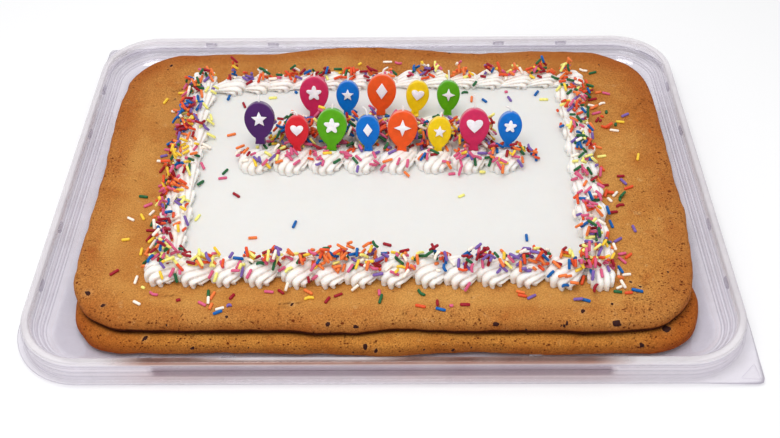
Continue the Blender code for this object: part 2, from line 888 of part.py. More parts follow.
def trim(host, cutter):
    """Cut the host and keep its main body."""
    boolean(host, "DIFFERENCE", cutter)
    bake(host)
    keep_main_body(host)


def main():
    clear_scene()
    rng = random.Random(SEED)
    parts = new_collection("cookie_cake")
    cutters = new_collection("cutters")
    sockets = new_collection("sockets")

    build_tray(parts)

    lower = cookie_outline(LOWER_CENTRE, LOWER_SWELLS, LOWER_PHASE)
    build_cookie("cookie_lower", LOWER_FLOOR, lower, parts)
    upper = cookie_outline(UPPER_CENTRE, UPPER_SWELLS, UPPER_PHASE)
    cookie = build_cookie("cookie_upper", UPPER_FLOOR, upper, parts)

    icing = wax("icing", COLOURS["icing"], 0.45)
    field = build_slab("icing_field", field_outline(0.0), FIELD_FLOOR, FIELD_TOP, parts, icing)
    border = build_border(parts, icing, rng)
    front = build_row("row_front", ROW_FRONT_COUNT, ROW_FRONT_PITCH, ROW_FRONT_Y, parts, icing)
    rear = build_row("row_rear", ROW_REAR_COUNT, ROW_REAR_PITCH, ROW_REAR_Y, parts, icing)
    blocked = build_candles(parts, sockets)

    below = COOKIE_TOP - CUTTER_DEPTH
    ground = build_slab("ground", field_outline(CUTTER_REACH), below, FIELD_FLOOR, cutters)
    room = build_slab("field_room", field_outline(GAP), below, ROW_FLOOR, cutters)
    trim(border, ground)

    scatter(cookie, spread(SPRINKLES_ON_COOKIE, rng, cookie_spot, 0.011), rng)
    near_rows = []
    for y in (ROW_FRONT_Y, ROW_REAR_Y):
        for number in range(ROW_FRONT_COUNT):
            x = (number - (ROW_FRONT_COUNT - 1) / 2) * ROW_FRONT_PITCH
            near_rows.append((x, y, ROW_CLEARANCE))
    scatter(field, spread(SPRINKLES_ON_FIELD, rng, field_spot, 0.020, near_rows), rng)
    scatter(border, spread(SPRINKLES_ON_BORDER, rng, border_spot, 0.0095), rng)
    on_front = row_spot(ROW_FRONT_Y, ROW_FRONT_PITCH * (ROW_FRONT_COUNT - 1) / 2)
    scatter(front, spread(SPRINKLES_ON_FRONT_ROW, rng, on_front, 0.010, blocked), rng)
    on_rear = row_spot(ROW_REAR_Y, ROW_REAR_PITCH * (ROW_REAR_COUNT - 1) / 2)
    scatter(rear, spread(SPRINKLES_ON_REAR_ROW, rng, on_rear, 0.010, blocked), rng)

    trim(border, ground)
    trim(border, room)
    trim(front, room)
    trim(rear, room)
    trim(front, sockets)
    trim(rear, sockets)
    for obj in list(cutters.objects) + list(sockets.objects):
        obj.hide_render = True
        obj.display_type = "WIRE"


main()
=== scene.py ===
"""Looks of the double cookie cake in its clear tray: crumb, piping, candles and sprinkles.

Metres, Z up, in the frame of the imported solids: X runs along the long side and Y from
the front to the back. Laid out as a Blender add-on and run as a script.
"""

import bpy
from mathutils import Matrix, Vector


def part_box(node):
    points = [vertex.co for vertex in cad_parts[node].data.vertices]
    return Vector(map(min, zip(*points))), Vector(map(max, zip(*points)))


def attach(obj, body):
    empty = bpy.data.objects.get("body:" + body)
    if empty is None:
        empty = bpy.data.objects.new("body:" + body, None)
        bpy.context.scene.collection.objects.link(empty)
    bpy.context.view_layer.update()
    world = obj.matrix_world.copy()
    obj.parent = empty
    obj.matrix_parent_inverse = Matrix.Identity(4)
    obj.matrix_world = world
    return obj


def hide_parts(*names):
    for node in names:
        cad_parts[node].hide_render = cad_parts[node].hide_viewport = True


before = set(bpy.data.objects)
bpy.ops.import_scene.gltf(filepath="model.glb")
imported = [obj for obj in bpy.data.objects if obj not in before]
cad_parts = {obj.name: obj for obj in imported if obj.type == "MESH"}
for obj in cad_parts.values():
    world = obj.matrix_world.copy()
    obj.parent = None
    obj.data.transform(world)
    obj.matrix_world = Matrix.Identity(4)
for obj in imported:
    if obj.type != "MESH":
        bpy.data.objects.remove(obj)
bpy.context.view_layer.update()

import random
from math import asin, atan2, ceil, copysign, cos, exp, hypot, pi, radians, sin, sqrt, tau

import bmesh
import bpy
import numpy as np
from bpy.props import FloatProperty, FloatVectorProperty, IntProperty, PointerProperty
from mathutils import Euler, Matrix, Vector, noise
from mathutils.bvhtree import BVHTree
from mathutils.kdtree import KDTree

bl_info = {
    "name": "Cookie Cake Looks",
    "version": (1, 0, 0),
    "blender": (4, 5, 0),
    "location": "3D View > Sidebar > Cookie Cake",
    "description": "Dresses the solids of a double cookie cake as the real thing",
    "category": "Mesh",
}

SEED = 4127
MM = 0.001

# Gap between neighbouring pieces, and distance under which points are one point
GAP = 0.0003
WELD = 0.000001

# Heights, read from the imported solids
TRAY_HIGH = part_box("tray")[1]
LOWER_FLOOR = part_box("cookie_lower")[0].z
UPPER_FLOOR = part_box("cookie_upper")[0].z
COOKIE_THICK = UPPER_FLOOR - GAP - LOWER_FLOOR
COOKIE_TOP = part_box("icing_field")[0].z - GAP
ROW_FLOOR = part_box("row_front")[0].z
FIELD_TOP = ROW_FLOOR - GAP

# Tray
TRAY_SHEET = 0.0008
TRAY_CORNER = 0.0495
# Distance in from the flange's edge and height of each bend, from the floor out
TRAY_BENDS = [
    (0.0205, TRAY_SHEET), (0.0193, 0.0045), (0.0170, 0.0045), (0.0164, 0.0082), (0.0141, 0.0082),
    (0.0135, 0.0120), (0.0117, 0.0120), (0.0105, 0.0180), (0.0055, 0.0180), (0.0050, 0.0150),
    (0.0046, 0.0148), (0.0044, 0.0104), (0.0040, 0.0102), (0.0038, 0.0062), (0.0035, 0.0033),
]
# Points along a corner, a long and a short side, here and for the cookies
TRAY_STEPS = (36, 140, 96)
FLANGE_WIDTH = 0.0035
FLANGE_TOP = 0.0033
FLANGE_ROWS = 8
# Corners, anticlockwise from the far right one, that run out to a tab
TAB_CORNERS = (1, 3)
TAB_SQUARENESS = 26
TAB_DROOP = 0.0013
CATCH_SIZE = (0.010, 0.0018, 0.0040)
CATCH_TOP = 0.0168
CATCH_EDGE = 0.0004
CATCHES_ALONG_X = (-0.152, -0.098, 0.098, 0.152)
CATCHES_ALONG_Y = (-0.108, -0.052, 0.052, 0.108)
# Painted reflection of the cookie's brown on the front rim, but for one stretch with a painted highlight:
# middle and half length
REFLECTED_BROWN_RIM = (-0.008, 0.172)
HIGHLIGHT_RIM = (-0.052, 0.070)
# Length over which those tones fade
RIM_FADE = 0.03
# Strength of the bend tint's painted light: painted shadow on the floor, painted dark lines at a sharp and
# a plain bend, and a faint painted shadow on the flange
FLOOR_PAINTED_SHADOW, SHARP_BEND_PAINTED_SHADE, PLAIN_BEND_PAINTED_SHADE, FLANGE_PAINTED_SHADOW = 0.35, 1.0, 0.6, 0.04
# Where the front wall begins, and the half length and heights of its long panel
FRONT_WALL = -0.15
PANEL_HALF = 0.149
PANEL_HEIGHTS = (0.0055, 0.0150)
FLOOR_INSETS = (0.070, 0.050, 0.034, 0.025)
# Distance in from the flange's edge of the fold that gets the painted dark line of a sharp bend
SHARP_BEND = 0.0105
CATCH_INSET = 0.0112
# How far in from the box a tab's raised triangle has its tip, the other corners from
# there, and the rounding, thickness and depth of its bead
TAB_TIP = 0.0030
TAB_TRIANGLE = ((-0.0014, 0.0122), (-0.0124, 0.0010))
BEAD_ROUNDING = 0.0012
BEAD_RADIUS = 0.00036
BEAD_DEPTH = 0.0007
# Colour of the haze that paints highlights on the rim's top and in faint streaks
HIGHLIGHT_HAZE_COLOUR = (0.90, 0.87, 0.87)

# Cookies
COOKIE_SPAN = 0.428
COOKIE_DEPTH = 0.296
COOKIE_CORNER = 0.046
COOKIE_STEPS = (72, 336, 204)
# Height, bumps all round and phase factor of the outline's even waves, then the height
# and width of its uneven ones
OUTLINE_WAVES = ((0.0009, 7, 1.0), (0.0007, 12, 2.3))
OUTLINE_LUMPS = (0.0009, 0.016)
# Rings of the side, up to the flat of the top
SIDE_ROWS = 24
UPPER_CENTRE = (0.0018, -0.0040)
LOWER_CENTRE = (0.0015, -0.0115)
# Distance in from the edge and share of the thickness, from the bottom up
COOKIE_SIDE = [
    (0.0200, 0.00), (0.0080, 0.00), (0.0036, 0.01), (0.0007, 0.14),
    (0.0000, 0.46), (0.0013, 0.80), (0.0046, 0.955), (0.0100, 1.00),
]
# Swells of the outline: place along X and Y, reach, and how far out
UPPER_SWELLS = [
    (-0.020, 0.148, 0.065, 0.0085), (0.214, -0.02, 0.05, -0.0012), (0.205, -0.125, 0.045, -0.0052),
    (0.190, 0.140, 0.03, -0.0030), (-0.190, 0.140, 0.035, -0.0028), (-0.214, -0.09, 0.07, -0.0034),
]
LOWER_SWELLS = [
    (0.214, -0.09, 0.05, -0.0030), (0.200, -0.150, 0.022, 0.0034), (-0.214, -0.09, 0.07, -0.0044),
]

# Icing
FIELD_HALF_X = 0.149
FIELD_BACK = 0.096
FIELD_FRONT = -0.113
FIELD_CORNER = 0.012
FIELD_MIDDLE = (FIELD_BACK + FIELD_FRONT) / 2
FIELD_HALF_Y = (FIELD_BACK - FIELD_FRONT) / 2
# How far in from the field's edge the crust ends under the border
CRUST_END = 0.006
BORDER_CORNERS = [
    Vector((-0.1450, -0.1095)), Vector((0.1450, -0.1125)), Vector((0.1475, 0.0985)),
    Vector((-0.0250, 0.0995)), Vector((-0.1465, 0.0915)),
]
BORDER_SIDES = ("front", "right", "back_right", "back_left", "left")
BACK_SHELL_SIZE = 0.82
CORNER_SHELL_SIZE = 0.78
SHELL_PITCH = 0.0222
# Share of one more shell that a side is stretched by before it gets that shell
LOOSER = 0.2
# How far each side's shells are turned in from the side's own direction, in degrees
SHELL_TURNS = {"front": 24, "right": 4, "back_right": 2, "back_left": 2, "left": 3}
# How far the back shells stand in from the middle line
BACK_SHIFT = 0.0025
SHELL_BEND = 0.0032
# The bag's path over one shell, in millimetres: place along and height of the
# section's middle, lean from upright in degrees, half width, half depth, groove share
SHELL_SPINE = [
    (-4.6, -0.8, 0, 11.9, 10.2, 0.40), (-5.0, 1.6, 4, 11.7, 10.0, 0.38), (-4.7, 3.7, 20, 12.2, 10.2, 0.33),
    (-3.0, 4.9, 42, 12.1, 9.2, 0.31), (0.5, 4.8, 62, 10.9, 7.2, 0.30), (5.0, 4.2, 78, 8.7, 5.4, 0.31),
    (9.5, 3.6, 86, 6.3, 3.8, 0.31), (13.5, 2.9, 90, 4.1, 2.5, 0.26), (16.4, 2.2, 90, 1.9, 1.4, 0.12),
    (17.6, 1.8, 90, 0.5, 0.4, 0.00),
]
# Piping: least and greatest twist, how much deeper and more pointed the teeth are at the
# base than farther up, and how many millimetres the tail droops
FRONT_PIPING = (1.3, 2.0, 1.15, 0.35, 0.0)
SIDE_PIPING = (1.3, 2.0, 0.85, 0.1, 2.6)
ROW_PIPING = (2.6, 3.3, 0.45, 0.0, 0.8)
# How far a point lies under the mean of its neighbours where a groove is deepest and its painted shade is
# full
GROOVE_SHADE_DEPTH = 0.00003
# Mesh of a shell before it is melted
SHELL_RINGS = 34
SHELL_SIDES = 108
# How far in from the field's edge the piping has climbed onto it
CLIMB = 0.009
# Height and width of the piping's soft lumps and of its finer ones
PIPING_LUMPS = ((0.00035, 0.009), (0.00010, 0.0028))
ROW_TURN = radians(44)
ROW_STRETCH = (1.16, 1.04, 0.76)
# Shells of each row, their pitch and their place along Y
ROWS = {
    "row_front": (8, 0.0262, 0.0005),
    "row_rear": (6, 0.0258, 0.0375),
}

# Candles
LEAN = radians(22)
# Height at which picks enter the rows
ENTRY_HEIGHT = 0.033
# Width and height of the two sizes of balloon
BIG = (0.0222, 0.0320)
SMALL = (0.0176, 0.0271)
BALLOON_THICK = 0.0060
BALLOON_CROWN = 0.00018
MOTIF_THICK = 0.0010
MOTIF_EDGE = 0.00028
# Reach of a motif as a share of the balloon's width, and its middle as one of its height
MOTIF_SHARES = (0.27, 0.61)
WICK_RADIUS = 0.00065
PICK_RADIUS = 0.0012
PICK_DEPTH = 0.0022
# Half widths and heights of a big balloon: room for its knot, knot, neck, widest place
KNOT_ROOM_HALF = 0.0052
KNOT_HALF = 0.0037
NECK_HALF = 0.0034
NECK_HEIGHT = 0.0048
WIDEST_HEIGHT = 0.0195
# Candle by candle: place in its row in steps of the pitch, wax, size, height of the
# knot above the pick's entry, tilt to the right in degrees, motif, and how far its
# wick leans to the right and reaches up
CANDLES = {
    "front": [
        (0.055, "purple", BIG, 0.0092, 0.6, "star", (0.0000, 0.0045)),
        (1.06, "red", SMALL, 0.0037, 2.5, "heart", (-0.0052, 0.0023)),
        (2.03, "green", BIG, 0.0039, 2.4, "flower", (0.0006, 0.0030)),
        (3.075, "blue", SMALL, 0.0035, -1.0, "diamond", (-0.0034, 0.0062)),
        (4, "orange", BIG, 0.0020, 2.0, "sparkle", (-0.0004, 0.0032)),
        (5, "yellow", SMALL, 0.0019, 4.5, "star", (0.0008, 0.0034)),
        (6, "pink", BIG, 0.0033, 1.4, "heart", (-0.0008, 0.0102)),
        (6.94, "blue", SMALL, 0.0057, 4.6, "flower", (-0.0050, 0.0034)),
    ],
    "rear": [
        (0, "pink", BIG, 0.0018, 1.5, "flower", (0.0010, 0.0030)),
        (1, "blue", SMALL, 0.0032, 1.8, "star", (0.0002, 0.0058)),
        (2, "orange", BIG, 0.0032, 2.5, "diamond", (0.0042, 0.0052)),
        (3, "yellow", SMALL, 0.0031, 8.0, "heart", (0.0004, 0.0030)),
        (4, "green", SMALL, 0.0029, 1.8, "sparkle", (-0.0006, 0.0076)),
    ],
}
# Points of a motif, and the reach of every other one and of those between
MOTIF_RAYS = {"star": (10, 1.0, 0.46), "sparkle": (8, 1.08, 0.42), "flower": (60, 0, 0)}
# Place of a row's middle along X, its pitch, and the place of its picks along Y
CANDLE_ROWS = {
    "front": (0.0, 0.02655, 0.005),
    "rear": (-0.0027, 0.0257, 0.047),
}

# Dark chocolate bits that show: millimetres along X, Y and Z, and width
CHIPS = [
    (-196, -125, 27, 5.4), (-183, -136, 27, 3.4), (151, -153, 26, 6.0), (73, -155, 26, 4.0),
    (54, 141, 27, 3.0), (119, -153, 26, 3.0), (117, -158, 25, 2.4), (130, -143, 27, 3.4),
    (150, -137, 27, 2.2), (-59, -136, 27, 3.2), (-101, -146, 27, 2.2), (-35, -152, 26, 3.0),
    (-17, -155, 25, 3.6), (165, -118, 27, 2.2), (171, -122, 27, 2.6), (-178, 124, 27, 3.4),
    (-168, 80, 27, 2.2), (186, -147, 13, 6.2), (-155, -153, 13, 4.2), (-124, -162, 10, 3.0),
    (168, -159, 11, 3.4), (-11, -160, 12, 4.0), (-4, -160, 9, 3.4), (46, -161, 7, 2.8),
]
SMALL_CHIPS = 40
# Half length and width of an oval round the cookies, from which small chips are set
CHIP_OVAL = (0.24, 0.18)
# Tints that the finest grain runs between
SPECKLE_COLOURS = ((0.36, 0.28, 0.22), (1.54, 1.58, 1.62))
# Layers of pores: width of a cell, widest pore as a share of it, and rarity
PORE_LAYERS = ((0.0013, 0.55, 2.0), (0.0024, 0.50, 3.0), (0.0060, 0.24, 3.0))
# Cracks in the upper crust: millimetres along X and Y of both ends, and width
CRACKS = [
    (-66, -136, -53, -134, 2.2), (-67, -139, -64, -138, 1.4), (-171, 90, -158, 94, 2.0),
    (-170, 79, -166, 82, 1.2), (198, 65, 208, 78, 1.3), (165, -124, 175, -120, 1.5),
    (-145, -129, -139, -128, 1.4), (-79, -157, -62, -156, 1.5), (166, -133, 175, -132, 1.3),
    (143, -159, 152, -159, 1.2), (40, 143, 60, 142, 1.2),
]
# Where fine pores crowd: millimetres along X and Y of the middle, reach and strength
PORE_CLOUDS = [
    (188, -128, 34, 0.80), (205, -40, 42, 0.62), (206, 60, 36, 0.50), (-196, -120, 26, 0.45),
    (-200, 20, 30, 0.30), (40, 145, 70, 0.30),
]

# Loose sprinkles that show one by one, first those on the field: colour, millimetres
# along X and Y, and heading
SINGLE_SPRINKLES = [
    ("orange", -117, 31, 20), ("crimson", -111, 67, 110), ("crimson", -81, 50, 170),
    ("forest", -117, -11, 60), ("rose", -118, -18, 10), ("crimson", -106, -36, 140),
    ("azure", -62, -66, 75), ("orange", -90, -79, 5), ("crimson", 3, -86, 160),
    ("azure", 99, -80, 90), ("lemon", 56, -38, 30), ("orange", 82, -94, 120),
    ("azure", -124, 75, 65), ("lemon", -89, 76, 5), ("azure", -71, 83, 125),
    ("lilac", -136, 79, 115), ("lemon", -134, 42, 170), ("forest", 64, 81, 8),
    ("forest", 72, 86, 50), ("orange", 69, 73, 85), ("azure", 79, 71, 130),
    ("rose", 97, 82, 5), ("lilac", 99, 73, 110), ("azure", 121, 80, 60),
    ("lemon", 126, 72, 0), ("crimson", 123, -98, 60),
    ("yellow", 190, 6, 75), ("crimson", 174, -15, 0), ("lilac", 175, -21, 120),
    ("scarlet", 178, -27, 25), ("cream", 167, -34, 50), ("forest", 171, -38, 65),
    ("scarlet", 163, -33, 155), ("crimson", 169, -46, 20), ("crimson", 163, -53, 20),
    ("lilac", 175, -69, 100), ("lilac", 162, -80, 35), ("rose", 163, -93, 12),
    ("scarlet", 167, -95, 40), ("cream", 163, -112, 5), ("orange", 158, -117, 20),
    ("forest", 155, -127, 170), ("cream", 157, -123, 30), ("scarlet", 162, -128, 5),
    ("azure", 168, -126, 165), ("azure", 133, -134, 160), ("lilac", 128, -134, 170),
    ("cream", 163, 114, 155), ("forest", 170, 110, 20), ("lemon", 150, 117, 100),
    ("yellow", -175, 76, 70), ("cream", -167, 63, 160), ("rose", -164, 17, 172),
    ("lilac", -166, 10, 20), ("cream", -168, 4, 175), ("crimson", -165, -5, 70),
    ("forest", -174, -34, 170), ("rose", -169, -43, 30), ("cream", -165, -51, 60),
    ("yellow", -171, -55, 120), ("cream", -179, -57, 150), ("forest", -163, -61, 80),
    ("yellow", -161, -78, 55), ("yellow", -179, -77, 10), ("yellow", -166, -89, 90),
    ("crimson", -181, -108, 40), ("cream", -165, -115, 85), ("lemon", -159, -122, 150),
    ("yellow", -146, -119, 115), ("rose", -151, -127, 155), ("cream", -161, -135, 150),
    ("crimson", -134, -133, 20), ("forest", -115, -127, 95), ("orange", -112, -129, 70),
    ("cream", -114, -134, 90), ("orange", -112, -138, 75), ("rose", -118, -136, 150),
    ("crimson", -99, -130, 60), ("cream", -106, -140, 20), ("azure", -107, -143, 25),
    ("lilac", -100, -138, 10), ("rose", -75, -126, 172), ("cream", -63, -125, 65),
    ("crimson", -67, -126, 140), ("orange", -49, -126, 145), ("yellow", -48, -132, 10),
    ("crimson", -36, -133, 60), ("crimson", -29, -129, 25), ("cream", -18, -125, 20),
    ("rose", -2, -127, 95), ("forest", -1, -133, 75), ("forest", 26, -127, 130),
    ("scarlet", 25, -139, 165), ("azure", 38, -142, 165), ("crimson", 36, -137, 90),
    ("rose", 45, -139, 5), ("crimson", 54, -138, 0), ("rose", 56, -126, 45),
    ("orange", 91, -127, 160), ("scarlet", 92, -130, 165), ("lilac", 98, -131, 30),
    ("yellow", -21, 124, 45), ("cream", 2, 126, 0), ("rose", 11, 125, 170),
    ("cream", 164, 67, 160), ("cream", 172, 69, 20), ("forest", 174, 59, 80),
    ("lilac", 188, 55, 30), ("yellow", 183, 47, 170), ("forest", 179, 44, 80),
    ("cream", 177, 37, 165), ("scarlet", 171, 42, 170), ("scarlet", 173, 41, 20),
    ("rose", 166, 58, 20), ("scarlet", 170, 54, 140), ("crimson", 168, 49, 60),
    ("orange", 171, 84, 10), ("rose", 177, 82, 155), ("scarlet", 163, 92, 120),
    ("yellow", 165, 86, 95), ("lemon", 163, 7, 10), ("forest", 172, -36, 50),
    ("cream", 158, -110, 80), ("cream", 159, -122, 120), ("azure", 138, -119, 100),
    ("rose", 144, -120, 90), ("lilac", 149, -116, 95), ("crimson", 140, -128, 60),
    ("azure", 120, -127, 20), ("orange", 122, -122, 10), ("orange", 118, -123, 170),
    ("yellow", 130, -115, 40), ("rose", 136, -113, 130), ("scarlet", 133, -118, 70),
    ("crimson", 136, -110, 20), ("lilac", 138, -122, 80), ("orange", 126, -125, 0),
    ("rose", 148, -109, 60), ("lemon", 143, -106, 30), ("rose", 153, -110, 110),
]
# Sprinkles of the border: side, count, clumps, spread of a clump as a share of the side,
# nearest, farthest and usual distance out from the middle line in millimetres, and the
# clumps' colour where it is always the same
BORDER_SPRINKLES = [
    ("left", 245, 10, 0.030, -5, 15, 8, ""),
    ("left", 40, 8, 0.040, -15, 0, -8, "lemon"),
    ("right", 190, 11, 0.026, -14, 14, 1, ""),
    ("front", 310, 13, 0.020, -14, 7, -3, ""),
    ("front", 30, 13, 0.030, 0, 12, 5, "rose"),
    ("back_right", 120, 9, 0.024, -9, 10, 4, ""),
    ("back_left", 95, 6, 0.035, -9, 10, 4, ""),
]
# Sprinkles on and behind the rows: count, then millimetres along X from and to, and
# along Y nearest, farthest and most usual, and the colour that a share of them has
ROW_SPRINKLES = [
    (330, -88, 84, 11, 32, 21, ""),
    (100, -84, 80, 28, 48, 32, ""),
    (96, -108, 108, -19, 4, -6, "rose"),
    (84, -110, 112, 0, 14, 9, ""),
    (14, 84, 114, -8, 12, 4, ""),
]
SPRINKLE_SHARES = {
    "rose": 16, "crimson": 12, "scarlet": 12, "orange": 10, "yellow": 7, "lemon": 7,
    "forest": 10, "azure": 10, "lilac": 8, "cream": 8,
}
# Share of a clump's sprinkles that have its own colour
FAVOURITE = 0.4
# Shares of the sprinkles that lie in clumps, are broken short and are bent
CLUMPED = 0.62
BROKEN = 0.08
BENT = 0.12
# Room round a pick, and the steepest slope that a sprinkle lies on
PICK_ROOM = 0.0048
STEEPEST = 1.1
# Place and thickness of a sprinkle's rings, from its middle to its end
ROD_RINGS = ((0.0, 1.0), (0.40, 0.99), (0.472, 0.70), (0.5, 0.0))

# Camera fitted to the tray's outline
CAMERA_PLACE = Vector((0.0125, -0.5783, 0.5467))
CAMERA_PITCH = radians(44.93)
CAMERA_YAW = radians(-0.85)
CAMERA_ROLL = radians(0.87)
SENSOR_WIDTH = 36.0
# The floor lies this far under the tray and reaches this far out
FLOOR_GAP = 0.0005
FLOOR_REACH = 4.0
LAMP_PLACE = Vector((-0.12, -0.18, 1.0))


def display(*shown):
    """Linear colour of what a screen shows as these values from 0 to 255."""
    return tuple(
        value / 255 / 12.92 if value < 11 else ((value / 255 + 0.055) / 1.055) ** 2.4
        for value in shown)


def shade(name, description, *shown):
    return FloatVectorProperty(
        name=name, description=description, default=display(*shown), subtype="COLOR",
        size=3, min=0.0, max=1.0)


def span(name, description, default):
    return FloatProperty(
        name=name, description=description, default=default, min=0.0, unit="LENGTH",
        precision=5)


def measure(name, description, default, **unit):
    return FloatProperty(name=name, description=description, default=default, min=0.0, **unit)


def whole(name, description, default):
    return IntProperty(name=name, description=description, default=default, min=0)


def group(name, description, kind):
    return PointerProperty(name=name, description=description, type=kind)


class TrayLook(bpy.types.PropertyGroup):
    """Clear formed tray."""
    bend_radius: span("Bend Radius", "Roundness of the sheet's bends", 0.0011)
    panel_depth: span("Panel Depth", "Depth of the long front panel", 0.0010)
    tint: shade("Tint", "Colour of light that passes the sheet", 253, 252, 254)
    edge_tint: shade("Edge Tint", "Tint where it is seen on edge", 249, 247, 250)
    # Painted shade: dark lines along the bends, and shadow on the tray's floor and flange
    bend: shade("Bend", "Tint along the bends", 218, 215, 222)
    # Painted reflection: the cookie seen darkly through the front panel
    panel: shade("Panel", "Tint of the long front panel", 208, 199, 206)
    # Painted reflection of the cookie on the front rim
    painted_reflection: shade("Warm", "Brown of the cookie that the front rim picks up", 219, 188, 174)


class CookieLook(bpy.types.PropertyGroup):
    """Both cookies."""
    swell: span("Swell", "Height of the broad rises in the top", 0.0008)
    lump: span("Lump", "Height of the small lumps", 0.00022)
    crumb: span("Crumb", "Height of the finest crumbs", 0.00008)
    pits: whole("Pits", "Small holes in each crust", 220)
    pale: shade("Pale", "Small pale spots", 214, 166, 104)
    golden: shade("Golden", "Broad pale parts of the crust", 202, 147, 77)
    brown: shade("Brown", "Middle tone of the crust", 188, 126, 60)
    dark: shade("Dark", "Edges and underside", 160, 83, 32)
    redder: shade("Redder", "Tint of the lower cookie", 255, 242, 214)
    pore: shade("Pore", "Finest holes", 104, 44, 15)
    # Also the colour of the painted shadow in the seam and under the upper cookie
    hole_and_shadow: shade("Hole", "Inside of pits and cracks", 60, 22, 8)
    chocolate: shade("Chocolate", "Chips in the dough", 52, 30, 30)


class IcingLook(bpy.types.PropertyGroup):
    """Flat field, border and piped rows."""
    white: shade("White", "Colour of the flat field", 226, 225, 222)
    # Brighter copy of the icing's white, painted light that lifts the piping's shading
    piped: shade("Piped", "Colour of the whipped piping", 244, 241, 236)
    # Painted shade: warm tone put in the grooves of the piping
    groove: shade("Groove", "Between the ridges of the piping", 208, 190, 176)
    ridges: whole("Ridges", "Ridges of the border", 10)
    row_ridges: whole("Row Ridges", "Ridges of the rows", 11)
    fineness: span("Fineness", "Mesh size of the piped icing", 0.00052)
    wave: span("Wave", "Unevenness of the flat field", 0.00012)


class CandleLook(bpy.types.PropertyGroup):
    """Balloon candles."""
    edge: span("Edge", "Rounding of the balloons' edges", 0.0013)
    purple: shade("Purple", "Purple wax", 76, 32, 100)
    red: shade("Red", "Red wax", 216, 36, 48)
    green: shade("Green", "Green wax", 88, 168, 14)
    blue: shade("Blue", "Blue wax", 0, 112, 204)
    orange: shade("Orange", "Orange wax", 236, 88, 28)
    yellow: shade("Yellow", "Yellow wax", 240, 204, 16)
    pink: shade("Pink", "Pink wax", 206, 42, 92)
    motif: shade("Motif", "Raised motifs", 248, 243, 248)
    wick: shade("Wick", "Wicks", 240, 236, 232)
    pick: shade("Pick", "Picks under the balloons", 214, 206, 216)


class SprinkleLook(bpy.types.PropertyGroup):
    """Sugar sprinkles."""
    length: span("Length", "Usual length of a sprinkle", 0.0072)
    radius: span("Radius", "Half the thickness of a sprinkle", 0.00106)
    rose: shade("Rose", "Pink sprinkles", 210, 92, 128)
    crimson: shade("Crimson", "Dark red sprinkles", 150, 22, 38)
    scarlet: shade("Scarlet", "Orange-red sprinkles", 220, 80, 40)
    orange: shade("Orange", "Orange sprinkles", 232, 120, 60)
    yellow: shade("Yellow", "Yellow sprinkles", 240, 200, 60)
    lemon: shade("Lemon", "Pale yellow sprinkles", 238, 232, 130)
    forest: shade("Forest", "Green sprinkles", 36, 96, 56)
    azure: shade("Azure", "Blue sprinkles", 14, 92, 165)
    lilac: shade("Lilac", "Purple sprinkles", 120, 92, 165)
    cream: shade("Cream", "White sprinkles", 246, 236, 222)


class StageLook(bpy.types.PropertyGroup):
    """Floor, light and camera."""
    floor: shade("Floor", "Colour of the floor", 246, 246, 247)
    sky: measure("Sky", "Strength of the light all round", 0.74)
    lamp: measure("Lamp", "Power of the main light", 5.3, unit="POWER")
    lamp_size: span("Lamp Size", "Width of the main light", 0.6)
    lens: measure("Lens", "Focal length", 48.0, unit="CAMERA")


class CakeLook(bpy.types.PropertyGroup):
    """All settings of the cookie cake."""
    tray: group("Tray", "Clear tray", TrayLook)
    cookies: group("Cookies", "Both cookies", CookieLook)
    icing: group("Icing", "White icing", IcingLook)
    candles: group("Candles", "Balloon candles", CandleLook)
    sprinkles: group("Sprinkles", "Sprinkles", SprinkleLook)
    stage: group("Stage", "Floor and light", StageLook)


# Materials

